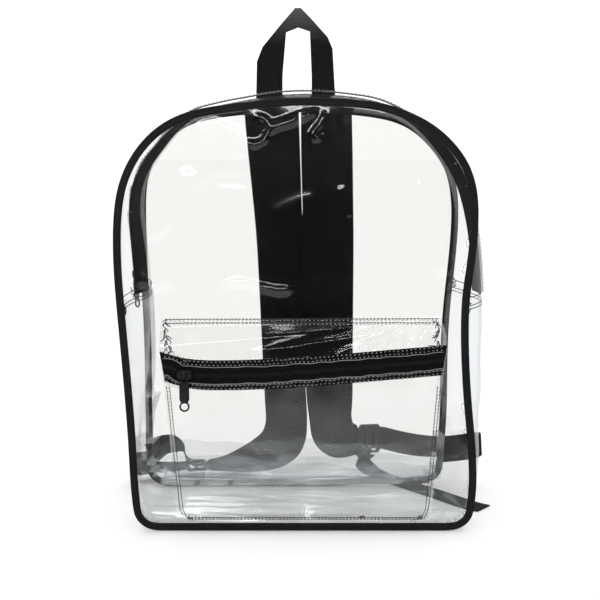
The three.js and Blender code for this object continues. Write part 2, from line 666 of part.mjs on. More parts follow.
// A flat strip along a route, never lower than the floor lets it lie. Each stop has its middle,
// the direction of its width and, where that changes, its span as a share of the width.
function ribbon(stops, width, thickness, divisions, round = 0.3) {
  const path = new THREE.CatmullRomCurve3(stops.map((stop) => stop.middle), false, "centripetal");
  const spread = new THREE.CatmullRomCurve3(stops.map((stop) => stop.wide), false, "centripetal");
  const spans = new THREE.CatmullRomCurve3(
    stops.map((stop) => point(stop.span ?? 1, stop.middle.x, stop.middle.z)),
    false,
    "centripetal",
  );
  const half = thickness / 2;
  const edge = Math.min(half, width / 4);
  const profile = [
    { side: -width / 2, up: -half * round },
    { side: -width / 2, up: half * round },
    { side: -width / 2 + edge, up: half },
    { side: width / 2 - edge, up: half },
    { side: width / 2, up: half * round },
    { side: width / 2, up: -half * round },
    { side: width / 2 - edge, up: -half },
    { side: -width / 2 + edge, up: -half },
  ];
  return loft(steps(0, 1, divisions).map((t) => {
    const middle = path.getPoint(t);
    middle.z = Math.max(middle.z, half);
    const along = path.getTangent(t);
    const wide = spread.getPoint(t);
    wide.addScaledVector(along, -wide.dot(along)).normalize();
    const up = along.clone().cross(wide).normalize();
    const span = spans.getPoint(t).x;
    return profile.map((corner) => {
      const place = middle.clone().addScaledVector(wide, corner.side * span).addScaledVector(up, corner.up);
      return place.setZ(Math.max(place.z, 0));
    });
  }));
}

// Stops of a padded strap from its table.
function strapStops(table, side) {
  const inner = BACK_FACE + HANDLE_THICKNESS + GAP + STRAP_THICKNESS / 2;
  const top = BACK_HEIGHT - STRAP_TOP_DROP;
  return table.map((row) => {
    const lean = (row.lean * Math.PI) / 2;
    return {
      middle: point(row.across * HALF_WIDTH, inner + row.behind * STRAP_BOW, top * (1 - row.drop)),
      wide: point(Math.cos(lean), -side * row.tip, side * Math.sin(lean)).normalize(),
      span: row.span,
    };
  });
}

// Stops of the lower webbing, which stands on edge as upright goes to 1.
function webbingStops(table) {
  return table.map((row) => ({
    middle: point(row.across * HALF_WIDTH, BACK_FACE + WEBBING_THICKNESS / 2 + row.behind, row.rise),
    wide: point(0, -(1 - row.upright), row.upright),
  }));
}

function tailStops(table) {
  return table.map((row, i) => {
    const from = tailPlace(table[Math.max(i - 1, 0)]);
    const to = tailPlace(table[Math.min(i + 1, table.length - 1)]);
    const level = to.sub(from).setZ(0).normalize();
    const flat = point(-level.y, level.x, 0);
    return {
      middle: tailPlace(row),
      wide: flat.multiplyScalar(1 - row.upright).add(point(0, 0, row.upright)),
    };
  });
}

// The carry handle: two legs that lean in to a folded peak, with the gap between them cut out.
function handleGeometry() {
  const half = HANDLE_SPAN / 2;
  const foot = BACK_HEIGHT - HANDLE_SEWN;
  const lift = HANDLE_RISE - BACK_HEIGHT;
  const outline = new THREE.Shape();
  HANDLE.forEach((row, i) => {
    const z = row.rise === null ? foot : BACK_HEIGHT + row.rise * lift;
    const x = row.across * half - Math.sign(row.across) * row.webbing * HANDLE_WEBBING;
    if (i === 0) {
      outline.moveTo(x, z);
    } else {
      outline.lineTo(x, z);
    }
  });
  outline.closePath();
  const geometry = new THREE.ExtrudeGeometry(outline, { depth: HANDLE_THICKNESS, bevelEnabled: false });
  geometry.rotateX(Math.PI / 2);
  geometry.translate(0, BACK_FACE + HANDLE_THICKNESS, 0);
  return geometry;
}

// A closed geometry as a solid that can be joined, and a solid back as a geometry.
function solidOf(geometry) {
  const bare = geometry.clone();
  bare.deleteAttribute("normal");
  bare.deleteAttribute("uv");
  const merged = mergeVertices(bare, 1e-4);
  return new wasm.Manifold(new wasm.Mesh({
    numProp: 3,
    vertProperties: Float32Array.from(merged.attributes.position.array),
    triVerts: Uint32Array.from(merged.index.array),
  }));
}

function geometryOf(solid) {
  const mesh = solid.getMesh();
  const geometry = new THREE.BufferGeometry();
  geometry.setAttribute("position", new THREE.Float32BufferAttribute(mesh.vertProperties, 3));
  geometry.setIndex(Array.from(mesh.triVerts));
  geometry.computeVertexNormals();
  return geometry;
}

// Heights of a slider above its zip tape.
const SLIDER_BASE = GAP + COIL_HEIGHT + GAP;
const SLIDER_TOP = SLIDER_BASE + SLIDER_THICKNESS;
const PULL_AXIS_LIFT = SLIDER_TOP + BRIDGE_ROOM / 2;

// The slider's body, seen from above with its length along X, or along Y when it is turned.
function sliderBody(turned) {
  const half = SLIDER_LENGTH / 2;
  const wide = SLIDER_WIDTH / 2;
  const nose = SLIDER_LENGTH / 5;
  const plan = new THREE.Shape();
  plan.moveTo(-half, -wide * 0.6);
  plan.lineTo(-half + nose, -wide);
  plan.lineTo(half - nose, -wide);
  plan.lineTo(half, -wide * 0.6);
  plan.lineTo(half, wide * 0.6);
  plan.lineTo(half - nose, wide);
  plan.lineTo(-half + nose, wide);
  plan.lineTo(-half, wide * 0.6);
  plan.closePath();
  const body = new THREE.ExtrudeGeometry(plan, { depth: SLIDER_THICKNESS, bevelEnabled: false });
  body.translate(0, 0, SLIDER_BASE);
  return turned ? body.rotateZ(Math.PI / 2) : body;
}

// The arch over the body that the pull hangs on. It reaches a little into the body.
function sliderBridge() {
  const foot = BRIDGE_LENGTH / 2;
  const root = SLIDER_TOP - SLIDER_THICKNESS / 2;
  const crown = SLIDER_TOP + BRIDGE_ROOM + BRIDGE_BAR;
  const side = new THREE.Shape();
  side.moveTo(-foot, root);
  side.lineTo(-foot + BRIDGE_BAR, root);
  side.lineTo(-foot + BRIDGE_BAR, crown - BRIDGE_BAR);
  side.lineTo(foot - BRIDGE_BAR, crown - BRIDGE_BAR);
  side.lineTo(foot - BRIDGE_BAR, root);
  side.lineTo(foot, root);
  side.lineTo(foot, crown - BRIDGE_BAR);
  side.lineTo(foot - BRIDGE_BAR, crown);
  side.lineTo(-foot + BRIDGE_BAR, crown);
  side.lineTo(-foot, crown - BRIDGE_BAR);
  side.closePath();
  const bridge = new THREE.ExtrudeGeometry(side, { depth: BRIDGE_WIDTH, bevelEnabled: false });
  bridge.rotateX(Math.PI / 2);
  return bridge.translate(0, BRIDGE_WIDTH / 2, 0);
}

function sliderGeometry(turned) {
  return geometryOf(solidOf(sliderBody(turned)).add(solidOf(sliderBridge())));
}

function pullGeometry() {
  const half = PULL_WIDTH / 2;
  const neck = half * 0.75;
  const ringMiddle = PULL_LENGTH + PULL_RING / 2 - 1;
  const plate = new THREE.Shape();
  plate.moveTo(-PULL_BAR / 2, -neck);
  plate.lineTo(PULL_WINDOW, -neck);
  plate.lineTo(PULL_WINDOW + 2, -half);
  plate.lineTo(PULL_LENGTH - 3, -half);
  plate.lineTo(PULL_LENGTH, -half * 0.7);
  plate.absarc(ringMiddle, 0, PULL_RING / 2, -Math.PI * 0.7, Math.PI * 0.7, false);
  plate.lineTo(PULL_LENGTH, half * 0.7);
  plate.lineTo(PULL_LENGTH - 3, half);
  plate.lineTo(PULL_WINDOW + 2, half);
  plate.lineTo(PULL_WINDOW, neck);
  plate.lineTo(-PULL_BAR / 2, neck);
  plate.closePath();
  const window = new THREE.Path();
  const room = BRIDGE_WIDTH / 2 + PULL_PLAY;
  window.moveTo(PULL_BAR / 2, -room);
  window.lineTo(PULL_BAR / 2, room);
  window.lineTo(PULL_WINDOW, room);
  window.lineTo(PULL_WINDOW, -room);
  window.closePath();
  plate.holes.push(window);
  const eye = new THREE.Path();
  eye.absarc(ringMiddle, 0, PULL_RING / 2 - 1.6, 0, Math.PI * 2, true);
  plate.holes.push(eye);
  const solid = { depth: PULL_THICKNESS, bevelEnabled: false, curveSegments: 12 };
  const geometry = new THREE.ExtrudeGeometry(plate, solid);
  geometry.translate(0, 0, -PULL_THICKNESS / 2);
  return geometry;
}

// A frame that stands on a surface point: X along the pull, Y across, Z away from the bag.
function placedFrame(place, along, across) {
  const frame = new THREE.Group();
  const out = along.clone().cross(across).normalize();
  frame.quaternion.setFromRotationMatrix(new THREE.Matrix4().makeBasis(along, across, out));
  frame.position.copy(place);
  return frame;
}

function part(name, geometry, material) {
  const mesh = new THREE.Mesh(geometry, material);
  mesh.name = name;
  return mesh;
}

// A zip's slider with its pull hanging on the bridge.
function sliderSet(prefix, frame, turned) {
  const pull = part(`${prefix}_pull`, pullGeometry(), ZIP_METAL);
  pull.position.set(0, 0, PULL_AXIS_LIFT);
  frame.add(part(`${prefix}_slider`, sliderGeometry(turned), ZIP_METAL), pull);
  return frame;
}

// A ladder lock: a plate with two slots, drawn with the webbing along X.
function lockGeometry() {
  const plate = new THREE.Shape();
  const half = LOCK_LENGTH / 2;
  const wide = LOCK_WIDTH / 2;
  plate.moveTo(-half, -wide + LOCK_SOFT);
  plate.lineTo(-half + LOCK_SOFT, -wide);
  plate.lineTo(half - LOCK_SOFT, -wide);
  plate.lineTo(half, -wide + LOCK_SOFT);
  plate.lineTo(half, wide - LOCK_SOFT);
  plate.lineTo(half - LOCK_SOFT, wide);
  plate.lineTo(-half + LOCK_SOFT, wide);
  plate.lineTo(-half, wide - LOCK_SOFT);
  plate.closePath();
  const slotLong = (LOCK_LENGTH - 3 * LOCK_BAR) / 2;
  const slots = [
    { start: -slotLong - LOCK_BAR / 2, slotWide: WEBBING_WIDTH / 2 + LOCK_PLAY },
    { start: LOCK_BAR / 2, slotWide: WEBBING_WIDTH / 2 + LOCK_PLAY - GAP },
  ];
  for (const { start, slotWide } of slots) {
    const slot = new THREE.Path();
    slot.moveTo(start, -slotWide);
    slot.lineTo(start, slotWide);
    slot.lineTo(start + slotLong, slotWide);
    slot.lineTo(start + slotLong, -slotWide);
    slot.closePath();
    plate.holes.push(slot);
  }
  const lock = new THREE.ExtrudeGeometry(plate, { depth: LOCK_THICKNESS, bevelEnabled: false });
  return lock.translate(0, 0, -LOCK_THICKNESS / 2);
}

// The lock's place past the end of a strap: its middle, run, width and outward directions.
function lockPlace(stops) {
  const last = stops[stops.length - 1];
  const along = last.middle.clone().sub(stops[stops.length - 2].middle).normalize();
  const across = last.wide.clone();
  across.addScaledVector(along, -across.dot(along)).normalize();
  const middle = last.middle.clone().addScaledVector(along, LOCK_LENGTH / 2 + 2 * GAP);
  const out = along.clone().cross(across);
  return { middle, along, across, out };
}

// One shoulder strap with its lock, the webbing to the bag's corner and the free tail. The tail
// covers the lock and leaves it outwards, at exit 1, or back under the strap, at -1.
function strapSet(side, exit, strapTable, webbingTable, tailTable) {
  const left = side < 0;
  const suffix = left ? "left" : "right";
  const stops = strapStops(strapTable, side);
  const lock = lockPlace(stops);
  const behind = lock.out.y < 0 ? -1 : 1;
  const wide = lock.across.clone().multiplyScalar(side);
  const stop = (run, off) => ({
    middle: lock.middle.clone().addScaledVector(lock.along, run).addScaledVector(lock.out, behind * off),
    wide,
  });
  const edge = LOCK_LENGTH / 2 + GAP;
  const rest = (LOCK_THICKNESS + WEBBING_THICKNESS) / 2 + 2 * GAP;
  const webbing = [stop(edge, 0), stop(edge + LOCK_BAR, 0), ...webbingStops(webbingTable)];
  const clear = exit < 0 ? rest + 3 * LOCK_BAR : rest + 2 * LOCK_BAR;
  const tail = [
    stop(-exit * (edge - LOCK_SOFT), rest),
    stop(0, rest),
    stop(exit * LOCK_BAR, rest + GAP),
    stop(exit * edge, clear),
    ...tailStops(tailTable),
  ];
  const frame = placedFrame(lock.middle, lock.along, lock.across);
  frame.add(part(`ladder_lock_${suffix}`, lockGeometry(), BLACK_PLASTIC));
  return [
    part(`shoulder_strap_${suffix}`, ribbon(stops, STRAP_WIDTH, STRAP_THICKNESS, 24, 0.5), STRAP_CLOTH),
    frame,
    part(`lower_webbing_${suffix}`, ribbon(webbing, WEBBING_WIDTH, WEBBING_THICKNESS, 20), WEBBING),
    part(`webbing_tail_${suffix}`, ribbon(tail, WEBBING_WIDTH, WEBBING_THICKNESS, 26), WEBBING),
  ];
}

// The bag's film, bindings and main zip.
function bagBody() {
  const zipTurns = turnsBetween(ZIP_LEFT + TURN_GAP, ZIP_RIGHT - TURN_GAP);
  const baseTurns = turnsBetween(ZIP_RIGHT + TURN_GAP, ZIP_LEFT + COUNT - TURN_GAP);
  const coilDepths = [0.5 - COIL_SHARE, 0.5, 0.5 + COIL_SHARE];
  return [
    part("front_panel", panelGeometry(FRONT, FRONT_OUT, BAG_HEIGHT, -1), CLEAR_FILM),
    part("back_panel", panelGeometry(BACK, BACK_OUT, BACK_HEIGHT, 1), CLEAR_FILM),
    part("front_binding", bindingGeometry(FRONT, FRONT_OUT), BLACK_TAPE),
    part("back_binding", bindingGeometry(BACK, BACK_OUT), BLACK_TAPE),
    part("gusset_front", gussetStrip(zipTurns, steps(0, TAPE_FRONT - DEPTH_GAP, 3), FILM), CLEAR_FILM),
    part("gusset_back", gussetStrip(zipTurns, steps(TAPE_BACK + DEPTH_GAP, 1, 3), FILM), CLEAR_FILM),
    part("gusset_base", gussetStrip(baseTurns, steps(0, 1, 8), FILM), CLEAR_FILM),
    part("main_zip_tape", gussetStrip(zipTurns, steps(TAPE_FRONT, TAPE_BACK, 2), TAPE_THICKNESS), ZIP_TAPE),
    part("main_zip_coil", gussetStrip(zipTurns, coilDepths, COIL_HEIGHT, GAP + COIL_HEIGHT), ZIP_COIL),
  ];
}

function mainSlider() {
  const turn = turnAtRise(MAIN_SLIDER_RISE, true);
  const along = gussetPoint(turn - SEAM_STEP, 0.5).sub(gussetPoint(turn + SEAM_STEP, 0.5)).normalize();
  const across = gussetPoint(turn, 0.5 - COIL_SHARE).sub(gussetPoint(turn, 0.5 + COIL_SHARE));
  across.addScaledVector(along, -across.dot(along)).normalize();
  return sliderSet("main", placedFrame(gussetPoint(turn, 0.5), along, across), false);
}

function pocket() {
  return [
    part("pocket_bottom", pocketPiece("bottom seam", "bottom fold"), CLEAR_FILM),
    part("pocket_face", pocketPiece("bottom fold", "zip low"), CLEAR_FILM),
    part("pocket_zip_tape", pocketPiece("zip low", "zip high", TAPE_THICKNESS), ZIP_TAPE),
    part("pocket_top", pocketPiece("zip high", "top seam"), CLEAR_FILM),
    part("pocket_side_left", pocketSide(false), CLEAR_FILM),
    part("pocket_side_right", pocketSide(true), CLEAR_FILM),
    part("pocket_zip_coil", pocketCoil(), ZIP_COIL),
  ];
}

function pocketSlider() {
  const middle = pocketRow(plainRow("zip low"), plainRow("zip high"), 0.5);
  const place = pocketPoint(middle, POCKET_SLIDER_SHARE);
  return sliderSet("pocket", placedFrame(place, point(0, 0, -1), point(1, 0, 0)), true);
}

const group = new THREE.Group();
group.add(
  ...bagBody(),
  mainSlider(),
  ...pocket(),
  pocketSlider(),
  part("carry_handle", handleGeometry(), WEBBING),
  ...strapSet(-1, 1, STRAP_LEFT, WEBBING_LEFT, TAIL_LEFT),
  ...strapSet(1, -1, STRAP_RIGHT, WEBBING_RIGHT, TAIL_RIGHT),
);

export default group;
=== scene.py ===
"""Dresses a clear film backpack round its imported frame: film, bindings, zips, webbing and straps."""

from __future__ import annotations

import json
import logging
import math
import random
from dataclasses import dataclass, field
from enum import Enum
from typing import Callable, Iterable, Sequence

import bmesh
import bpy
from mathutils import Matrix, Vector, noise
from mathutils.bvhtree import BVHTree

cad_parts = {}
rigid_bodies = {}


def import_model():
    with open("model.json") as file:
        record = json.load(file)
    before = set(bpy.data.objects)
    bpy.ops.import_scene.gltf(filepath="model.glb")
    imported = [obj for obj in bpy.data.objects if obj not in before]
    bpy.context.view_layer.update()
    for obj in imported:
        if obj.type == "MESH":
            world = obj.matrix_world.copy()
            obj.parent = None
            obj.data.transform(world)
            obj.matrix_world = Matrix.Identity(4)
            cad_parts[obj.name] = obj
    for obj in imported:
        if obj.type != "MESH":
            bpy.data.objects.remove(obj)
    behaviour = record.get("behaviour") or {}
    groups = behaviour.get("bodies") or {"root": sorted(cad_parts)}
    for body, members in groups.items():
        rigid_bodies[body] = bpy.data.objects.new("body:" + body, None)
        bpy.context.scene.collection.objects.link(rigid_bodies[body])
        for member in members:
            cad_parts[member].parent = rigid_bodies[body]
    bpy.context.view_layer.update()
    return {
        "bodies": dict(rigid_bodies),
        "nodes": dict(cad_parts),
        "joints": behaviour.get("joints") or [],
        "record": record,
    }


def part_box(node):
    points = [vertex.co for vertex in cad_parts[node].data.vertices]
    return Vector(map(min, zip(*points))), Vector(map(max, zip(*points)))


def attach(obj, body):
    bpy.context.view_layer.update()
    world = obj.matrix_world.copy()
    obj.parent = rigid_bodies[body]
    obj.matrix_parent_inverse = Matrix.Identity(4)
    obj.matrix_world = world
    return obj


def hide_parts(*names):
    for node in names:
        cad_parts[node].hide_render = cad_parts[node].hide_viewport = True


LOG = logging.getLogger("clear_backpack")
MM = 0.001
BAG = "bag"
FRONT = Vector((0, -1, 0))
FILM = 0.6 * MM
FILM_SMOOTH = 60.0
MERGE = 1e-6

Piece = bpy.types.Object
Material = bpy.types.Material
Places = Sequence[Vector]
Rgba = tuple[float, float, float, float]
Aim = Callable[[Vector], Vector]


class Side(Enum):
    """The side of the bag that a paired piece belongs to."""

    LEFT = -1
    RIGHT = 1


def mm(x: float, y: float, z: float) -> Vector:
    """A place in metres from millimetres."""
    return Vector((x, y, z)) * MM


def smooth(t: float) -> float:
    """A smooth step from 0 to 1."""
    c = min(max(t, 0.0), 1.0)
    return c * c * (3 - 2 * c)


class Socket:
    """A shader socket whose arithmetic adds Math nodes."""

    def __init__(self, graph: Graph, source: bpy.types.NodeSocket) -> None:
        """Wraps one output socket of a graph."""
        self.graph = graph
        self.source = source

    def math(self, operation: str, *values: Socket | float, clamp: bool = False) -> Socket:
        """Adds a Math node on values.

        Args:
            operation: the node's operation.
            values: its inputs in order.
            clamp: whether the result stays between 0 and 1.

        Returns:
            The node's output.
        """
        return self.graph.node("ShaderNodeMath", {"operation": operation, "use_clamp": clamp}, *values)

    def __add__(self, other: Socket | float) -> Socket:
        """Sum."""
        return self.math("ADD", self, other)

    __radd__ = __add__

    def __mul__(self, other: Socket | float) -> Socket:
        """Product."""
        return self.math("MULTIPLY", self, other)

    __rmul__ = __mul__

    def __sub__(self, other: Socket | float) -> Socket:
        """Difference."""
        return self.math("SUBTRACT", self, other)

    def __rsub__(self, other: float) -> Socket:
        """Difference from a number."""
        return self.math("SUBTRACT", other, self)

    def __pow__(self, other: Socket | float) -> Socket:
        """Power."""
        return self.math("POWER", self, other)

    def clamped(self) -> Socket:
        """The value held between 0 and 1."""
        return self.math("MULTIPLY", self, 1.0, clamp=True)


class Graph:
    """A material's node tree with a short way to add nodes."""

    def __init__(self, tree: bpy.types.NodeTree) -> None:
        """Starts on an emptied tree."""
        self.tree = tree
        tree.nodes.clear()

    def node(
        self,
        kind: str,
        settings: dict[str, object] | None = None,
        *values: Socket | float | Sequence[float],
        out: int | str = 0,
        **named: Socket | float | Sequence[float],
    ) -> Socket:
        """Adds one node.

        Args:
            kind: the node's type.
            settings: properties set before its sockets.
            values: socket values or links in order.
            out: the output to return.
            named: socket values or links by name, with spaces as underscores.

        Returns:
            The chosen output.
        """
        made = self.tree.nodes.new(kind)
        for key, value in (settings or {}).items():
            setattr(made, key, value)
        pairs = list(zip(made.inputs, values))
        pairs += [(made.inputs[key.replace("_", " ")], value) for key, value in named.items()]
        for target, value in pairs:
            if isinstance(value, Socket):
                self.tree.links.new(value.source, target)
            else:
                target.default_value = value
        return Socket(self, made.outputs[out])

    def blend(self, share: Socket | float, first: object, second: object) -> Socket:
        """Mixes two colours by a share."""
        made = self.tree.nodes.new("ShaderNodeMix")
        made.data_type = "RGBA"
        for target, value in zip((made.inputs[0], made.inputs[6], made.inputs[7]), (share, first, second)):
            if isinstance(value, Socket):
                self.tree.links.new(value.source, target)
            else:
                target.default_value = value
        return Socket(self, made.outputs[2])

    def place(self) -> Socket:
        """Object coordinates."""
        return self.node("ShaderNodeTexCoord", out="Object")

    def noise(self, where: Socket, scale: float, detail: float = 3.0, rough: float = 0.5) -> Socket:
        """Soft noise at a place."""
        named = {"Vector": where, "Scale": scale, "Detail": detail, "Roughness": rough}
        return self.node("ShaderNodeTexNoise", None, **named)

    def wave(self, where: Socket, scale: float, axis: str) -> Socket:
        """Parallel waves along one axis, per metre of the given scale."""
        settings = {"bands_direction": axis}
        return self.node("ShaderNodeTexWave", settings, Vector=where, Scale=scale, Distortion=0.0, out=1)

    def bump(self, height: Socket, depth: float, strength: float = 1.0) -> Socket:
        """A bump normal from a height."""
        return self.node("ShaderNodeBump", None, Strength=strength, Distance=depth, Height=height)

    def surface(self, specular: float, **named: Socket | float | Sequence[float]) -> Socket:
        """A Principled surface with a share of plain gloss and its other inputs by name."""
        made = self.node("ShaderNodeBsdfPrincipled", None, **named)
        made.source.node.inputs["Specular IOR Level"].default_value = specular
        return made

    def remap(self, value: Socket, ends: Sequence[float]) -> Socket:
        """Maps a value from its first two ends to its last two, and no further."""
        return self.node("ShaderNodeMapRange", None, value, *ends)

    def join(self, shader: Socket, kind: str) -> None:
        """Joins a shader to a new output of a kind."""
        end = self.tree.nodes.new(kind)
        self.tree.links.new(shader.source, end.inputs["Surface"])


class Recipe(Graph):
    """The node tree of one new material."""

    def __init__(self, name: str) -> None:
        """Starts an empty material."""
        self.material = bpy.data.materials.new(name)
        self.material.use_nodes = True
        super().__init__(self.material.node_tree)

    def finish(self, shader: Socket) -> Material:
        """Joins a shader to the output and returns the material."""
        self.join(shader, "ShaderNodeOutputMaterial")
        return self.material


def grey(value: float) -> Rgba:
    """A neutral colour."""
    return (value, value, value, 1.0)


@dataclass(frozen=True)
class ClearFilm:
    """Soft clear vinyl: nearly invisible face on, silvery where it turns away."""

    name: str = "clear_film"
    tint: Rgba = (0.981, 0.982, 0.977, 1.0)
    mirror: float = 0.034
    power: float = 5.0
    roughness: float = 0.06
    soft: float = 0.1
    edge: float = 0.42

    def build(self) -> Material:
        """Makes the material."""
        graph = Recipe(self.name)
        where = graph.place()
        slow = graph.noise(where, 16.0, 0.0, 0.3)
        bump = graph.bump(slow, 0.003, self.soft)
        facing = graph.node("ShaderNodeLayerWeight", None, Blend=0.5, Normal=bump, out="Facing")
        share = (facing ** self.power) * (self.edge - self.mirror) + self.mirror
        clear = graph.node("ShaderNodeBsdfTransparent", None, Color=self.tint)
        rough = graph.noise(where, 9.0, 2.0, 0.5) * 0.08 + self.roughness
        silver = (0.97, 0.975, 0.98, 1)
        gloss = graph.surface(0.5, Base_Color=silver, Metallic=1.0, Roughness=rough, Normal=bump)
        return graph.finish(graph.node("ShaderNodeMixShader", None, share.clamped(), clear, gloss))


@dataclass(frozen=True)
class Cloth:
    """Woven black cloth or tape with ribs along one axis and a fine cross weave, and where asked a painted
    highlight that lightens its upper part.
    """

    name: str
    tone: float
    light: float
    ribs: float
    rib_axis: str
    cross: float
    cross_axis: str
    depth: float = 0.0006
    roughness: float = 0.72
    specular: float = 0.25
    worn_from: float = 9.0
    worn_to: float = 10.0
    worn: float = 0.0

    def build(self) -> Material:
        """Makes the material."""
        graph = Recipe(self.name)
        where = graph.place()
        ribs = graph.wave(where, self.ribs, self.rib_axis)
        cross = graph.wave(where, self.cross, self.cross_axis)
        fuzz = graph.noise(where, 900.0, 2.0, 0.6)
        cloud = graph.noise(where, 30.0, 3.0, 0.6)
        weave = ribs * 0.6 + cross * 0.3 + fuzz * 0.25
        worn = (cloud - 0.5) * 0.5 + weave * 0.45
        colour = graph.blend(worn.clamped(), grey(self.tone), grey(self.light))
        # Painted highlight: higher up, the colour blends towards a paler grey for the light on the top of
        # the handle.
        if self.worn > 0:
            height = graph.node("ShaderNodeSeparateXYZ", None, where, out="Z")
            high = (height - self.worn_from) * (1 / (self.worn_to - self.worn_from))
            share = (high.clamped() ** 1.4) * (0.8 + weave * 0.4)
            colour = graph.blend(share.clamped(), colour, grey(self.worn))
        rough = cloud * 0.12 + self.roughness - 0.06
        normal = graph.bump(weave, self.depth, 0.7)
        return graph.finish(
            graph.surface(self.specular, Base_Color=colour, Roughness=rough.clamped(), Normal=normal)
        )


@dataclass(frozen=True)
class Hard:
    """Black moulded plastic or painted metal with a little grain and worn tone."""

    name: str
    tone: float
    light: float
    roughness: float
    metallic: float
    grain: float
    specular: float = 0.5

    def build(self) -> Material:
        """Makes the material."""
        graph = Recipe(self.name)
        where = graph.place()
        grain = graph.noise(where, self.grain, 3.0, 0.6)
        cloud = graph.noise(where, 60.0, 2.0, 0.5)
        colour = graph.blend(cloud, grey(self.tone), grey(self.light))
        surface = graph.surface(
            self.specular,
            Base_Color=colour,
            Metallic=self.metallic,
            Roughness=(grain * 0.2 + self.roughness - 0.1).clamped(),
            Normal=graph.bump(grain, 0.0002, 0.5),
        )
        return graph.finish(surface)


@dataclass(frozen=True)
class PaleFloor:
    """The plain floor that the bag stands on."""

    name: str = "pale_floor"

    def build(self) -> Material:
        """Makes the material."""
        graph = Recipe(self.name)
        cloud = graph.noise(graph.place(), 3.0, 2.0, 0.5)
        colour = graph.blend(cloud, grey(0.97), grey(0.985))
        return graph.finish(graph.surface(0.1, Base_Color=colour, Roughness=0.9))


class Finishes:
    """Every finish of the bag, built once."""

    def __init__(self) -> None:
        """Builds the materials."""
        self.film = ClearFilm(tint=(0.973, 0.974, 0.967, 1.0)).build()
        self.base = ClearFilm("base_film", (0.968, 0.973, 0.976, 1.0), 0.07, edge=0.5).build()
        # This film's grey tint is painted shade for the dim foot of the bag.
        self.slack = ClearFilm("slack_film", (0.945, 0.953, 0.957, 1.0), 0.05, edge=0.3).build()
        self.pocket = ClearFilm("pocket_film", (0.998, 0.998, 0.998, 1.0), 0.036, roughness=0.03).build()
        self.side = ClearFilm("side_film", edge=0.22).build()
        self.fold = ClearFilm("folded_film", (0.95, 0.953, 0.955, 1.0), 0.22, 3.0, 0.16, 0.5, 0.6).build()
        self.binding = Cloth("black_binding", 0.004, 0.014, 420, "DIAGONAL", 620, "Z", specular=0.2).build()
        self.tape = Cloth("zip_tape", 0.003, 0.009, 500, "DIAGONAL", 700, "X", specular=0.1).build()
        # The webbing's paler top is a painted highlight for the light on the handle's peak.
        self.webbing = Cloth(
            "black_webbing", 0.005, 0.016, 175, "Z", 560, "X",
            depth=0.001, specular=0.12, worn_from=0.498, worn_to=0.54, worn=0.1,
        ).build()
        self.lower = Cloth(
            "lower_webbing", 0.005, 0.011, 420, "X", 560, "Z", depth=0.0005, specular=0.12
        ).build()
        self.strap = Cloth(
            "strap_cloth", 0.002, 0.007, 520, "X", 520, "Z", roughness=0.8, specular=0.1
        ).build()
        self.thread = Hard("black_thread", 0.006, 0.02, 0.5, 0.0, 1500.0).build()
        # Pale grey beads along stitch rows: a painted highlight where the stitches dimple the film.
        self.dimple = Hard("pressed_stitch", 0.12, 0.5, 0.3, 0.0, 1500.0).build()
        # Pale grey for the film's cut edge: a painted highlight along the edge of the clear film.
        self.rim = Hard("film_cut_edge", 0.1, 0.3, 0.3, 0.0, 120.0).build()
        self.coil = Hard("zip_coil", 0.005, 0.014, 0.42, 0.0, 500.0, 0.3).build()
        self.metal = Hard("black_metal", 0.012, 0.03, 0.34, 0.6, 900.0).build()
        self.plastic = Hard("black_plastic", 0.006, 0.014, 0.45, 0.0, 700.0, 0.3).build()


def linked(name: str, data: bpy.types.ID) -> Piece:
    """A new object of some data, linked to the scene."""
    obj = bpy.data.objects.new(name, data)
    bpy.context.scene.collection.objects.link(obj)
    return obj


def primitive(name: str, add: Callable[..., object], **settings: object) -> Piece:
    """Adds a primitive with its settings and names it."""
    bpy.ops.object.select_all(action="DESELECT")
    add(**settings)
    obj = bpy.context.active_object
    obj.name = obj.data.name = name
    return obj


def flat(place: Vector) -> Vector:
    """A place without its depth."""
    return Vector((place.x, 0, place.z))


def select_only(obj: Piece) -> None:
    """Selects one object alone and makes it active."""
    bpy.ops.object.select_all(action="DESELECT")
    obj.select_set(True)
    bpy.context.view_layer.objects.active = obj


def edit_all(obj: Piece) -> None:
    """Opens an object in edit mode with everything selected."""
    select_only(obj)
    bpy.ops.object.mode_set(mode="EDIT")
    bpy.ops.mesh.select_all(action="SELECT")


def leave_edit() -> None:
    """Goes back to object mode."""
    bpy.ops.object.mode_set(mode="OBJECT")


def apply_modifier(obj: Piece, kind: str, **settings: object) -> None:
    """Adds a modifier with settings and applies it."""
    made = obj.modifiers.new(kind.title(), kind)
    for key, value in settings.items():
        setattr(made, key, value)
    select_only(obj)
    bpy.ops.object.modifier_apply(modifier=made.name)


def subdivide_smooth(obj: Piece, levels: int) -> None:
    """Applies a subdivision surface."""
    apply_modifier(obj, "SUBSURF", levels=levels, render_levels=levels)


def shade_smooth(obj: Piece, degrees: float = 40.0) -> None:
    """Smooths the shading, but not over sharp edges."""
    select_only(obj)
    bpy.ops.object.shade_smooth_by_angle(angle=math.radians(degrees))


def outward(obj: Piece) -> None:
    """Merges doubles and turns every face out."""
    edit_all(obj)
    bpy.ops.mesh.remove_doubles(threshold=MERGE)
    bpy.ops.mesh.normals_make_consistent(inside=False)
    leave_edit()


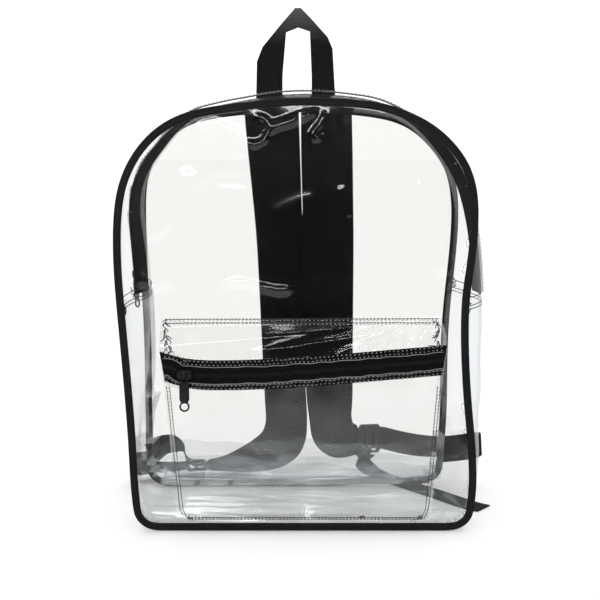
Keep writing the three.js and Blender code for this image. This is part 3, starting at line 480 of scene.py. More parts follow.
class Frame:
    """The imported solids, and copies of them that can be refined."""

    def __init__(self, loaded: dict) -> None:
        """Keeps what was loaded."""
        self.nodes: dict[str, Piece] = loaded["nodes"]

    def copy(self, node: str, name: str) -> Piece:
        """A merged copy of a solid with its four-sided faces back.

        Args:
            node: the solid's name.
            name: the new piece's name.

        Returns:
            The new piece.
        """
        source = self.nodes[node]
        mesh = source.data.copy()
        mesh.transform(source.matrix_world)
        mesh.materials.clear()
        obj = linked(name, mesh)
        edit_all(obj)
        bpy.ops.mesh.remove_doubles(threshold=2 * MERGE)
        bpy.ops.mesh.tris_convert_to_quads(face_threshold=math.radians(60), shape_threshold=math.radians(60))
        bpy.ops.mesh.faces_shade_smooth()
        leave_edit()
        if obj.data.has_custom_normals:
            bpy.ops.mesh.customdata_custom_splitnormals_clear()
        return obj

    def refined(self, node: str, name: str, levels: int, sharp: float = 50.0) -> Piece:
        """A finer copy of a solid that keeps its sharp rims.

        Args:
            node: the solid's name.
            name: the new piece's name.
            levels: how often each face is split.
            sharp: rims sharper than these degrees keep their line.

        Returns:
            The new piece.
        """
        obj = self.copy(node, name)
        edit_all(obj)
        bpy.ops.mesh.select_mode(type="EDGE")
        bpy.ops.mesh.select_all(action="DESELECT")
        bpy.ops.mesh.edges_select_sharp(sharpness=math.radians(sharp))
        bpy.ops.transform.edge_crease(value=1.0)
        bpy.ops.mesh.select_mode(type="VERT")
        leave_edit()
        subdivide_smooth(obj, levels)
        return obj

    def bevelled(self, node: str, name: str, width: float) -> Piece:
        """A copy of a hard solid with rounded edges."""
        obj = self.copy(node, name)
        apply_modifier(obj, "BEVEL", width=width, segments=2, limit_method="ANGLE", angle_limit=0.5)
        shade_smooth(obj, 35.0)
        return obj

    def edge(self, node: str) -> Outline:
        """A binding's outline round its middle."""
        low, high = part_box(node)
        return Outline(self.places(node), (low + high) / 2)

    def places(self, node: str) -> list[Vector]:
        """The corner places of a solid."""
        return [v.co.copy() for v in self.nodes[node].data.vertices]


class Skin:
    """Solids that a ray can find, so that stitches and threads lie on them."""

    def __init__(self, frame: Frame, *nodes: str) -> None:
        """Keeps a search tree of the solids' faces."""
        places: list[Vector] = []
        faces: list[tuple[int, ...]] = []
        for node in nodes:
            start = len(places)
            source = frame.nodes[node]
            places += [source.matrix_world @ vertex.co for vertex in source.data.vertices]
            faces += [tuple(start + index for index in face.vertices) for face in source.data.polygons]
        self.tree = BVHTree.FromPolygons(places, faces)

    def hit(self, start: Vector, towards: Vector) -> Vector | None:
        """The first place that a ray meets, if it meets one."""
        return self.tree.ray_cast(start, towards)[0]

    def line(self, starts: Iterable[Vector], towards: Vector, proud: float) -> list[Vector]:
        """The places that rays from the starts meet in order, standing a little proud."""
        found = (self.hit(start, towards) for start in starts)
        return [place - towards * proud for place in found if place is not None]


class Outline:
    """The bound edge of a panel, read from its binding, as a distance at each angle."""

    def __init__(self, places: Iterable[Vector], middle: Vector) -> None:
        """Keeps the farthest corner at each angle round a middle."""
        self.middle = middle
        far: dict[int, tuple[float, float]] = {}
        for place in places:
            x = place.x - middle.x
            z = place.z - middle.z
            angle = math.atan2(z, x)
            reach = math.hypot(x, z)
            key = round(angle * 120)
            if key not in far or far[key][1] < reach:
                far[key] = (angle, reach)
        rows = sorted(far.values())
        after = rows[1:] + rows[:1]
        self.rows = [
            row
            for i, row in enumerate(rows)
            if row[1] > 0.97 * (rows[i - 1][1] + after[i][1]) / 2
        ]

    def reach(self, angle: float) -> float:
        """The distance to the edge at an angle, on a smooth curve through the corners."""
        rows = self.rows
        turn = 2 * math.pi
        angle = (angle + math.pi) % turn - math.pi
        after = next((i for i, row in enumerate(rows) if row[0] > angle), len(rows))
        count = len(rows)

        def row(index: int) -> tuple[float, float]:
            wraps, at = divmod(index, count)
            return rows[at][0] + wraps * turn, rows[at][1]

        (a0, r0), (a1, r1), (a2, r2), (a3, r3) = (row(after + k) for k in (-2, -1, 0, 1))
        span = a2 - a1
        t = (angle - a1) / span
        m1 = (r2 - r0) / (a2 - a0) * span
        m2 = (r3 - r1) / (a3 - a1) * span
        t2 = t * t
        t3 = t2 * t
        return (2 * t3 - 3 * t2 + 1) * r1 + (t3 - 2 * t2 + t) * m1 + (3 * t2 - 2 * t3) * r2 + (t3 - t2) * m2

    def point(self, angle: float, inset: float, y: float) -> Vector:
        """A place inside the edge by an inset."""
        reach = self.reach(angle) - inset
        return Vector((self.middle.x + reach * math.cos(angle), y, self.middle.z + reach * math.sin(angle)))

    def loop(self, inset: float, y: float, pitch: float) -> list[Vector]:
        """Even steps round the whole edge."""
        rough = [self.point(2 * math.pi * i / 1440, inset, y) for i in range(1440)]
        return evenly(rough + [rough[0]], pitch)[:-1]


def evenly(places: Places, pitch: float) -> list[Vector]:
    """Places one pitch apart along a polyline, both ends included."""
    lengths = [0.0]
    for a, b in zip(places, places[1:]):
        lengths.append(lengths[-1] + (b - a).length)
    count = max(round(lengths[-1] / pitch), 1)
    made = []
    at = 0
    for i in range(count + 1):
        want = lengths[-1] * i / count
        while at < len(places) - 2 and lengths[at + 1] < want:
            at += 1
        span = lengths[at + 1] - lengths[at]
        made.append(places[at].lerp(places[at + 1], (want - lengths[at]) / span if span else 0.0))
    return made


def rounded(places: Places, steps: int = 6) -> list[Vector]:
    """A smooth line through the places."""
    made = []
    last = len(places) - 1
    for i in range(last):
        p0, p1 = places[max(i - 1, 0)], places[i]
        p2, p3 = places[i + 1], places[min(i + 2, last)]
        for k in range(steps):
            t = k / steps
            a = 2 * p1
            b = p2 - p0
            c = 2 * p0 - 5 * p1 + 4 * p2 - p3
            d = -p0 + 3 * p1 - 3 * p2 + p3
            made.append((a + b * t + c * t * t + d * t ** 3) / 2)
    return made + [places[-1].copy()]


def grid_piece(name: str, columns: int, rows: int, place: Callable[[float, float], Vector]) -> Piece:
    """A sheet made from a primitive grid whose corners are moved to their places.

    Args:
        name: the piece's name.
        columns: faces across.
        rows: faces up.
        place: the place of each pair of shares across and up.

    Returns:
        The new piece.
    """
    add = bpy.ops.mesh.primitive_grid_add
    obj = primitive(name, add, x_subdivisions=columns, y_subdivisions=rows, size=1.0, calc_uvs=True)
    for vertex in obj.data.vertices:
        vertex.co = place(vertex.co.x + 0.5, vertex.co.y + 0.5)
    return obj


def film_sheet(
    name: str, columns: int, rows: int, place: Callable[[float, float], Vector], thick: float = FILM
) -> Piece:
    """A grid piece given a thickness, with its faces out and its shading smooth."""
    obj = grid_piece(name, columns, rows, place)
    outward(obj)
    apply_modifier(obj, "SOLIDIFY", thickness=thick, offset=0.0)
    shade_smooth(obj, FILM_SMOOTH)
    return obj


@dataclass
class Copies:
    """Many copies of one small modelled shape, joined in one mesh."""

    name: str
    seed: Piece
    turns: list[Matrix] = field(default_factory=list)

    def add(self, middle: Vector, along: Vector, out: Vector) -> None:
        """Adds a copy whose X runs along a line and whose Z points out."""
        x = along.normalized()
        y = out.cross(x).normalized()
        z = x.cross(y)
        turn = Matrix((x, y, z)).transposed().to_4x4()
        turn.translation = middle
        self.turns.append(turn)

    def build(self) -> Piece:
        """Joins the copies in one new piece and removes the seed."""
        base = [v.co.copy() for v in self.seed.data.vertices]
        faces = [tuple(p.vertices) for p in self.seed.data.polygons]
        corners: list[Vector] = []
        polygons: list[tuple[int, ...]] = []
        for turn in self.turns:
            start = len(corners)
            corners.extend(turn @ place for place in base)
            polygons.extend(tuple(start + index for index in face) for face in faces)
        mesh = bpy.data.meshes.new(self.name)
        mesh.from_pydata(corners, [], polygons)
        mesh.validate()
        mesh.shade_smooth()
        obj = linked(self.name, mesh)
        bpy.data.objects.remove(self.seed)
        return obj


def capsule(length: float, width: float, height: float) -> Piece:
    """A small rounded bar along X, the seed of a stitch or a zip tooth."""
    obj = primitive("seed", bpy.ops.mesh.primitive_uv_sphere_add, segments=6, ring_count=4, radius=0.5)
    edit_all(obj)
    bpy.ops.transform.rotate(value=math.pi / 2, orient_axis="Y", center_override=(0, 0, 0))
    bpy.ops.transform.resize(value=(length, width, height), center_override=(0, 0, 0))
    leave_edit()
    return obj


def tube(name: str, places: Places, radius: float, sides: int = 5) -> Piece:
    """A closed thin tube along places, for thread ends and cut edges."""
    obj = primitive(name, bpy.ops.mesh.primitive_circle_add, vertices=sides, radius=radius, fill_type="NGON")
    built = bmesh.new()
    rings = []
    for i, place in enumerate(places):
        along = (places[min(i + 1, len(places) - 1)] - places[max(i - 1, 0)]).normalized()
        turn = along.to_track_quat("Z", "Y").to_matrix()
        thin = radius * (0.4 if i in (0, len(places) - 1) else 1.0)
        ring = [
            built.verts.new(place + turn @ Vector((thin * math.cos(a), thin * math.sin(a), 0)))
            for a in (2 * math.pi * k / sides for k in range(sides))
        ]
        rings.append(ring)
    for low, high in zip(rings, rings[1:]):
        for k in range(sides):
            n = (k + 1) % sides
            built.faces.new((low[k], low[n], high[n], high[k]))
    built.faces.new(list(reversed(rings[0])))
    built.faces.new(rings[-1])
    built.to_mesh(obj.data)
    built.free()
    obj.data.shade_smooth()
    return obj


@dataclass(frozen=True)
class Crease:
    """A soft ridge in film along points, in millimetres across and up."""

    points: tuple[tuple[float, float], ...]
    width: float
    height: float

    def lift(self, across: float, up: float) -> float:
        """The ridge's height at a place, in metres.

        Args:
            across: the place's X in metres.
            up: its Z in metres.

        Returns:
            The height, which fades towards both ends.
        """
        x = across / MM
        z = up / MM
        reach = 3 * self.width
        if not any(abs(px - x) < reach + 40 and abs(pz - z) < reach + 40 for px, pz in self.points):
            return 0.0
        best = reach
        share = 0.0
        last = len(self.points) - 1
        for i in range(last):
            (ax, az), (bx, bz) = self.points[i], self.points[i + 1]
            dx, dz = bx - ax, bz - az
            t = ((x - ax) * dx + (z - az) * dz) / (dx * dx + dz * dz)
            t = min(max(t, 0.0), 1.0)
            off = math.hypot(ax + dx * t - x, az + dz * t - z)
            if off < best:
                best = off
                share = (i + t) / last
        fade = smooth(min(share, 1 - share) * 5 + 0.25)
        return self.height * MM * fade * math.exp(-((best / self.width) ** 2))


def soft_noise(place: Vector, scale: float, seed: float) -> float:
    """Smooth noise about zero at a place, with waves of the scale in metres."""
    return noise.noise(place / scale + Vector((seed, seed * 1.7, -seed)))


@dataclass(frozen=True)
class Tuft:
    """A few loose threads at a seam's end, in millimetres, cast on a surface along a direction."""

    start: tuple[float, float, float]
    towards: tuple[float, float, float]
    run: tuple[float, float, float]
    count: int = 4
    length: float = 11.0
    spread: float = 1.1

    def strand(self, chance: random.Random, skin: Skin) -> list[Vector]:
        """One curled thread's places.

        Args:
            chance: the source of its unevenness.
            skin: what it lies on.

        Returns:
            Its places on the surface.
        """
        aim = Vector(self.towards).normalized()
        run = Vector(self.run).normalized()
        side = aim.cross(run).normalized()
        angle = chance.uniform(-self.spread, self.spread)
        curl = chance.uniform(-1.6, 1.6)
        length = self.length * chance.uniform(0.5, 1.0)
        at = Vector(self.start) + side * chance.uniform(-1.5, 1.5) + run * chance.uniform(-1.5, 1.5)
        starts = []
        for step in range(9):
            turn = angle + curl * (step / 8) ** 2
            at = at + (run * math.cos(turn) + side * math.sin(turn)) * (length / 8)
            starts.append(at * MM)
        lift = chance.uniform(0.4, 0.9) * MM
        return skin.line(starts, aim, lift)


@dataclass
class Builder:
    """What every sub-assembly shares: the frame, the finishes and how pieces are dressed."""

    frame: Frame
    finishes: Finishes

    def dress(
        self,
        obj: Piece,
        finish: Material,
        slot: str,
        replaces: Sequence[str] = (),
        body: str = BAG,
    ) -> Piece:
        """Gives a piece its finish and body, and hides the solids that it stands for.
            body: the body that it rides on.

        Returns:
            The piece.
        """
        obj.data.materials.clear()
        obj.data.materials.append(finish)
        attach(obj, body)
        if replaces:
            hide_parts(*replaces)
        LOG.info("%s: %d faces", obj.name, len(obj.data.polygons))
        return obj

    def stitches(
        self,
        name: str,
        line: Places,
        out: Aim,
        pitch: float = 3.6 * MM,
        length: float = 2.7 * MM,
        thick: float = 0.75 * MM,
        closed: bool = False,
        finish: Material | None = None,
    ) -> Piece:
        """A row of thread stitches along a line.

        Args:
            name: the piece's name.
            line: the seam's places.
            out: the outward direction at a place.
            pitch: the distance between stitches.
            length: a stitch's length.
            thick: the thread's thickness.
            closed: whether the line meets its own start.
            finish: the thread's finish, black unless given.

        Returns:
            The dressed piece.
        """
        path = list(line) + ([line[0]] if closed else [])
        steps = evenly(path, pitch)
        row = Copies(name, capsule(length, thick, thick * 0.8))
        for a, b in zip(steps, steps[1:]):
            middle = (a + b) / 2
            row.add(middle, b - a, out(middle))
        return self.dress(row.build(), finish or self.finishes.thread, "black_binding")

    def dots(self, name: str, line: Places, out: Aim) -> Piece:
        """A row of short pale beads where stitches press the film down, a painted highlight for the light
        they catch.
        """
        finish = self.finishes.dimple
        return self.stitches(name, line, out, 4.2 * MM, 1.5 * MM, 1.1 * MM, finish=finish)

    def threads(self, name: str, skin: Skin, tufts: Sequence[Tuft]) -> Piece:
        """Loose thread ends that lie curled on the film.

        Args:
            name: the piece's name.
            skin: what they lie on.
            tufts: where they start and how they spread.

        Returns:
            The dressed piece.
        """
        chance = random.Random(name)
        made = []
        for tuft in tufts:
            for number in range(tuft.count):
                places = tuft.strand(chance, skin)
                if len(places) > 3:
                    made.append(tube(f"{name}_{len(made)}", places, 0.5 * MM))
        joined = made[0]
        select_only(joined)
        for piece in made:
            piece.select_set(True)
        bpy.ops.object.join()
        joined.name = name
        joined.data.name = name
        return self.dress(joined, self.finishes.thread, "black_binding")


@dataclass
class PanelShape:
    """Sizes of a film panel inside its binding."""

    binding: str
    node: str
    name: str
    out: int
    tuck: float = 7.0 * MM
    puff: float = 4.0 * MM
    creases: tuple[Crease, ...] = ()
    ripple: float = 0.8 * MM


class Panel(Builder):
    """A front or back panel of film with its creases."""

    def build(self, shape: PanelShape) -> Piece:
        """Makes the panel.

        Args:
            shape: its sizes.

        Returns:
            The dressed piece.
        """
        low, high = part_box(shape.binding)
        outline = self.frame.edge(shape.binding)
        middle = outline.middle
        half_wide = (high.x - low.x) / 2
        half_tall = (high.z - low.z) / 2

        def place(u: float, v: float) -> Vector:
            """One place of the panel from its shares of a square, drawn out to the edge."""
            a = 2 * u - 1
            b = 2 * v - 1
            share = max(abs(a), abs(b))
            angle = math.atan2(b * half_tall, a * half_wide)
            at = outline.point(angle, shape.tuck, middle.y)
            at = middle.lerp(at, share)
            wide = max(1 - ((at.x - middle.x) / half_wide) ** 2, 0)
            tall = max(1 - ((at.z - middle.z) / half_tall) ** 2, 0)
            inside = smooth((1 - share) * 4)
            lift = shape.puff * wide * tall
            lift += sum(crease.lift(at.x, at.z) for crease in shape.creases) * smooth((1 - share) * 25)
            lift += shape.ripple * inside * soft_noise(flat(at), 0.09, 3.0 * shape.out)
            lift += 0.3 * shape.ripple * inside * soft_noise(flat(at), 0.035, 7.0)
            pucker = math.exp(-(((1 - share) * half_wide / (14 * MM)) ** 2))
            lift += 0.6 * MM * pucker * soft_noise(flat(at), 0.016, 2.0)
            at.y += shape.out * lift
            return at

        obj = film_sheet(shape.name, 180, 216, place)
        return self.dress(obj, self.finishes.film, "clear_film", [shape.node])


@dataclass(frozen=True)
class Wrinkle:
    """How much a refined film piece is creased, at a slow and a fine scale, and how its creases are
    stretched.
    """

    slow: float
    slow_scale: float
    fine: float
    fine_scale: float = 0.025
    stretch: tuple[float, float, float] = (1.0, 1.0, 1.0)


@dataclass
class Gusset(Builder):
    """The film that joins the two panels, in a base piece and two strips beside the main zip."""

    # Heights of the greyer film folds at the foot of the back, which stand in for the shade there.
    slack_tops: tuple[float, ...] = (27, 41, 56)
    slack_foot: float = 10 * MM
    seam_rises: tuple[float, ...] = (229.0, 232.5, 241.0)
    seam_stitch: float = 3.4 * MM
    seam_thread: float = 1.2 * MM
    foot_seam_rise: float = 11.5
    turned_top: float = 232 * MM
    turned_lip: float = 1.5
    turned_width: float = 12.5
    held_rim: float = 22 * MM
    ruck: float = 1.3 * MM
    ruck_below: float = 30 * MM
    side_tufts: tuple[tuple[float, ...], ...] = (
        (-58, 231, -1, -0.4, 5, 13),
        (-20, 240, -1, 0.1, 4, 12),
        (52, 240, 1, -0.3, 5, 13),
        (60, 230, 1, 0.2, 4, 12),
    )

    def build(self) -> list[Piece]:
        """Makes the three film pieces."""
        lively = Wrinkle(2.2 * MM, 0.07, 0.7 * MM, 0.022, (1, 0.6, 1.6))
        calm = Wrinkle(1.0 * MM, 0.08, 0.3 * MM)
        made = [
            self.piece("gusset_base", "base_film", lively),
            self.piece("gusset_front", "front_strip_film", calm),
            self.piece("gusset_back", "back_strip_film", calm),
        ]
        folds = [self.slack(number, top) for number, top in enumerate(self.slack_tops)]
        return made + self.cross_seams() + [self.fold(), self.base_seam()] + folds

    def slack(self, number: int, top: float) -> Piece:
        """A fold of base film against the foot of the back, greyer than the other film: painted shade for
        the dim foot of the bag.

        Args:
            number: which fold, counted from the back.
            top: its height in millimetres.

        Returns:
            The dressed piece.
        """
        low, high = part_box("back_panel")

        def place(u: float, v: float) -> Vector:
            """One place of the fold along the bag and up its height."""
            x = low.x + (6 + 4 * number) * MM + (high.x - low.x - (12 + 8 * number) * MM) * u
            crest = (top + 7 * soft_noise(Vector((x, number, 0)), 0.045, 3.0)) * MM
            z = self.slack_foot + (crest - self.slack_foot) * v
            wave = soft_noise(Vector((x / 2.5, z, number)), 0.014, 8.0)
            return Vector((x, low.y - (4 + 3 * number + 1.6 * wave * v) * MM, z))

        obj = film_sheet(f"slack_fold_{number}", 120, 8, place, 0.4 * MM)
        return self.dress(obj, self.finishes.slack, "clear_film")

    def base_seam(self) -> Piece:
        """The dark seam line along the foot of the back."""
        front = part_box("back_binding")[0].y
        line = [mm(x, 0, self.foot_seam_rise + 1.2 * math.sin(x / 31)) for x in range(-150, 146, 3)]
        for place in line:
            place.y = front - 4.5 * MM
        return self.stitches("back_foot_seam", line, lambda _: FRONT, length=3.5 * MM, thick=1.1 * MM)

    def cross_seams(self) -> list[Piece]:
        """The stitch rows across the sides, where the zip strips join the base piece."""
        skin = Skin(self.frame, "gusset_base", "gusset_front", "gusset_back", "main_zip_tape")
        made = []
        for side in Side:
            aim = Vector((side.value, 0, 0))
            word = side.name.lower()
            for number, rise in enumerate(self.seam_rises):
                starts = [mm(0, y, rise + 0.02 * y) for y in range(-68, 70, 3)]
                line = skin.line(starts, aim, -0.3 * MM)
                name = f"side_seam_{word}_{number}"
                row = self.stitches(
                    name, line, lambda _, a=aim: a, length=self.seam_stitch, thick=self.seam_thread
                )
                made.append(row)
            tufts = [
                Tuft((0, y, z), (side.value, 0, 0), (0, run, fall), count, length)
                for y, z, run, fall, count, length in self.side_tufts
            ]
            made.append(self.threads(f"side_threads_{word}", skin, tufts))
        return made

    def fold(self) -> Piece:
        """The base film's turned-in edge, which lies in front of the back binding."""
        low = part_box("back_binding")[0]
        outline = self.frame.edge("back_binding")
        reach = math.asin((self.turned_top - outline.middle.z) / outline.reach(0.1))
        start, end = math.pi - reach, 2 * math.pi - 0.75

        def place(u: float, v: float) -> Vector:
            """One place of the strip along the base and across its width."""
            angle = start + (end - start) * u
            inset = (self.turned_lip + self.turned_width * v) * MM
            at = outline.point(angle, inset, low.y - 1.2 * MM)
            at.y -= 1.4 * MM * (soft_noise(flat(at), 0.03, 3.0) + 0.6) + 2.0 * MM * v
            at.z = max(at.z, 2.5 * MM + 0.5 * MM * v)
            return at

        obj = film_sheet("turned_film_edge", 260, 8, place)
        return self.dress(obj, self.finishes.fold, "clear_film")

    def piece(self, node: str, name: str, wrinkle: Wrinkle) -> Piece:
        """One film piece, creased most in the middle of its depth."""
        obj = self.frame.refined(node, name, 2)
        low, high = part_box(node)
        middle = mm(0, 0, 210)
        for vertex in obj.data.vertices:
            co = vertex.co
            rim = min(co.y - low.y, high.y - co.y)
            hold = smooth(rim / self.held_rim)
            out = flat(co - middle).normalized()
            place = Vector([c * s for c, s in zip(co, wrinkle.stretch)])
            lift = wrinkle.slow * soft_noise(place, wrinkle.slow_scale, 5.0)
            lift += wrinkle.fine * soft_noise(place, wrinkle.fine_scale, 9.0)
            near_floor = smooth((co.z - 3 * MM) / (14 * MM))
            vertex.co = co + out * lift * hold * near_floor
            if node == "gusset_base" and co.z < self.ruck_below:
                ruck = Vector((co.x / 3.2, co.y, 0))
                rise = self.ruck * (soft_noise(ruck, 0.016, 3.0) + 0.45) * hold * (1 - near_floor)
                vertex.co.z += max(rise, 0)
        shade_smooth(obj, FILM_SMOOTH)
        finish = self.finishes.base if node == "gusset_base" else self.finishes.side
        return self.dress(obj, finish, "clear_film", [node])


@dataclass
class Binding(Builder):
    """The bound edges of the front and the back, with their stitching."""

    row_inset: float = 5.6 * MM
    row_pitch: float = 3.6 * MM
    row_sunk: float = 0.25 * MM
    unevenness: float = 0.25 * MM

    def build(self) -> list[Piece]:
        """Makes both bindings and a stitch row on each face that shows."""
        made = []
        for place, out in (("front", -1), ("back", 1)):
            node = f"{place}_binding"
            band = self.frame.refined(node, f"{place}_edge_band", 2, sharp=180.0)
            for vertex in band.data.vertices:
                vertex.co.y += self.unevenness * soft_noise(flat(vertex.co), 0.012, 4.0)
            shade_smooth(band, FILM_SMOOTH)
            made.append(self.dress(band, self.finishes.binding, "black_binding", [node]))
            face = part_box(node)[max(out, 0)].y
            line = self.frame.edge(node).loop(self.row_inset, face - out * self.row_sunk, self.row_pitch)
            row = self.stitches(f"{place}_edge_stitches", line, lambda _: Vector((0, out, 0)), closed=True)
            made.append(row)
        return made


@dataclass
class ZipShape:
    """Names and sizes of one zip."""

    prefix: str
    tape_node: str
    coil_node: str
    slider_node: str
    pull_node: str
    pitch: float = 1.35 * MM
    tooth: float = 3.6 * MM


@dataclass
class Zip(Builder):
    """A coil zip: tape, teeth, stitches drawn as pale painted highlight beads, slider and pull."""

    lap_from: float = 8.2 * MM
    lap_to: float = 15.4 * MM
    lap_film: float = 0.5 * MM
    cut_edge: float = 0.42 * MM
    rows_at: tuple[float, ...] = (-13.2 * MM, -10.0 * MM, 10.0 * MM, 13.2 * MM)
    tooth_size: tuple[float, float] = (1.05 * MM, 1.5 * MM)
    tooth_off: float = 0.95 * MM
    tooth_proud: float = 0.35 * MM

    def centre_line(self, shape: ZipShape) -> tuple[list[Vector], list[Vector]]:
        """The coil's middle line and the outward direction at each step."""
        raise NotImplementedError

    def build(self, shape: ZipShape) -> list[Piece]:
        """Makes all of the zip's pieces.

        Args:
            shape: its names and sizes.

        Returns:
            The dressed pieces.
        """
        tape = self.frame.refined(shape.tape_node, f"{shape.prefix}_zip_cloth", 2)
        for vertex in tape.data.vertices:
            vertex.co += self.waver(vertex.co)
        shade_smooth(tape, FILM_SMOOTH)
        made = [self.dress(tape, self.finishes.tape, "zip_tape", [shape.tape_node])]
        line, outs = self.centre_line(shape)
        made.append(self.teeth(shape, line, outs))
        made += self.rows(shape, line, outs)
        made += self.laps(shape, line, outs)
        slider = self.frame.bevelled(shape.slider_node, f"{shape.prefix}_zip_slider", 0.45 * MM)
        made.append(self.dress(slider, self.finishes.metal, "black_metal", [shape.slider_node]))
        pull = self.frame.bevelled(shape.pull_node, f"{shape.prefix}_zip_pull", 0.35 * MM)
        made.append(self.dress(pull, self.finishes.metal, "black_metal", [shape.pull_node], shape.pull_node))
        return made

    def across(self, line: list[Vector], outs: list[Vector], i: int) -> Vector:
        """The direction across the tape at one step."""
        return (line[i + 1] - line[i - 1]).normalized().cross(outs[i]).normalized()

    def waver(self, place: Vector) -> Vector:
        """A small unevenness of the tape at a place."""
        return Vector((0, 0, 0.2 * MM * soft_noise(place, 0.03, 6.0)))

    def teeth(self, shape: ZipShape, line: list[Vector], outs: list[Vector]) -> Piece:
        """The coil's teeth, which meet in turn from both sides."""
        row = Copies(f"{shape.prefix}_zip_teeth", capsule(shape.tooth, *self.tooth_size))
        for i in range(1, len(line) - 1):
            across = self.across(line, outs, i)
            side = 1 if i % 2 else -1
            middle = line[i] + across * side * self.tooth_off + outs[i] * self.tooth_proud
            row.add(middle, across, outs[i])
        return self.dress(row.build(), self.finishes.coil, "zip_coil", [shape.coil_node])

    def rows(self, shape: ZipShape, line: list[Vector], outs: list[Vector]) -> list[Piece]:
        """Two stitch rows along each edge of the tape, drawn as pale beads: a painted highlight."""
        made = []
        for number, off in enumerate(self.rows_at):
            path = [
                self.on_tape(line[i] + self.across(line, outs, i) * off, outs[i])
                for i in range(1, len(line) - 1)
            ]
            name = f"{shape.prefix}_zip_stitches_{number}"
            made.append(self.dots(name, path, self.outward_at))
        return made

    def laps(self, shape: ZipShape, line: list[Vector], outs: list[Vector]) -> list[Piece]:
        """The folded film edges that lie on the tape on both sides of the coil, each with a pale tube along
        its cut edge as a painted highlight.
        """
        made = []
        for number, side in enumerate((-1, 1)):
            def place(u: float, v: float, side: int = side) -> Vector:
                """One place of a lap along the zip and across its width."""
                at = u * (len(line) - 3) + 1
                i = min(int(at), len(line) - 3)
                here = line[i].lerp(line[i + 1], at - i)
                along = (line[i + 1] - line[i]).normalized()
                across = along.cross(outs[i]).normalized()
                wide = self.lap_from + (self.lap_to - self.lap_from) * v
                edge = math.exp(-((v / 0.12) ** 2))
                waver = 0.5 * MM * soft_noise(Vector((u * 4, side, 0)), 0.5, 2.0) * (1 - v)
                fine = soft_noise(Vector((u * 14, v, side)), 0.5, 5.0)
                lift = (0.4 + 0.3 * edge + 0.12 * fine) * MM
                return self.on_tape(here + across * side * (wide + waver) + outs[i] * lift, outs[i])

            count = max(60, int(len(line) * shape.pitch / (2.5 * MM)))
            obj = film_sheet(f"{shape.prefix}_zip_film_edge_{number}", count, 8, place, self.lap_film)
            made.append(self.dress(obj, self.finishes.film, "clear_film"))
            # The cut edge is real; the tube's pale grey is a painted highlight along it.
            rim = [place(step / count, 0.0) for step in range(count + 1)]
            edge = tube(f"{shape.prefix}_zip_cut_edge_{number}", rim, self.cut_edge)
            made.append(self.dress(edge, self.finishes.rim, "clear_film"))
        return made

    def on_tape(self, place: Vector, out: Vector) -> Vector:
        """A place beside the coil, brought down to the tape's face."""
        return place - out * 0.5 * MM

    def outward_at(self, place: Vector) -> Vector:
        """The outward direction at a place."""
        raise NotImplementedError


class MainZip(Zip):
    """The zip that runs over the top of the bag."""

    def outward_at(self, place: Vector) -> Vector:
        """Away from the middle of the bag."""
        return Vector((place.x, 0, (place.z - 0.25) * 0.9)).normalized()

    def centre_line(self, shape: ZipShape) -> tuple[list[Vector], list[Vector]]:
        """The coil's middle line over the bag and the outward directions."""
        found = [p for p in self.frame.places(shape.coil_node) if abs(p.y) < 0.2 * MM]
        middle = Vector((0, 0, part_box(shape.coil_node)[0].z - 10 * MM))
        by_turn: dict[int, Vector] = {}
        for place in found:
            key = round(math.atan2(place.z - middle.z, place.x - middle.x) * 60)
            if key not in by_turn or (place - middle).length > (by_turn[key] - middle).length:
                by_turn[key] = place
        ends = sorted(by_turn)
        line = evenly(rounded([by_turn[key] for key in reversed(ends)]), shape.pitch)
        outs = []
        for i, place in enumerate(line):
            along = line[min(i + 1, len(line) - 1)] - line[max(i - 1, 0)]
            outs.append(along.cross(FRONT).normalized())
        inner = [place - out * 1.4 * MM for place, out in zip(line, outs)]
        return inner, outs


class PocketZip(Zip):
    """The zip across the front pocket."""

    def outward_at(self, place: Vector) -> Vector:
        """Towards the front."""
        return FRONT.copy()

    def centre_line(self, shape: ZipShape) -> tuple[list[Vector], list[Vector]]:
        """The coil's middle line across the pocket and the outward directions."""
        places = self.frame.places(shape.coil_node)
        low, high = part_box(shape.coil_node)
        line = []
        count = 30
        for step in range(count + 1):
            x = low.x + (high.x - low.x) * step / count
            near = [(math.exp(-(((p.x - x) / (7 * MM)) ** 2)), p) for p in places]
            total = sum(weight for weight, _ in near)
            y = sum(weight * p.y for weight, p in near) / total
            z = sum(weight * p.z for weight, p in near) / total
            line.append(Vector((x, y, z)))
        return evenly(rounded(line), shape.pitch), [FRONT] * 4000


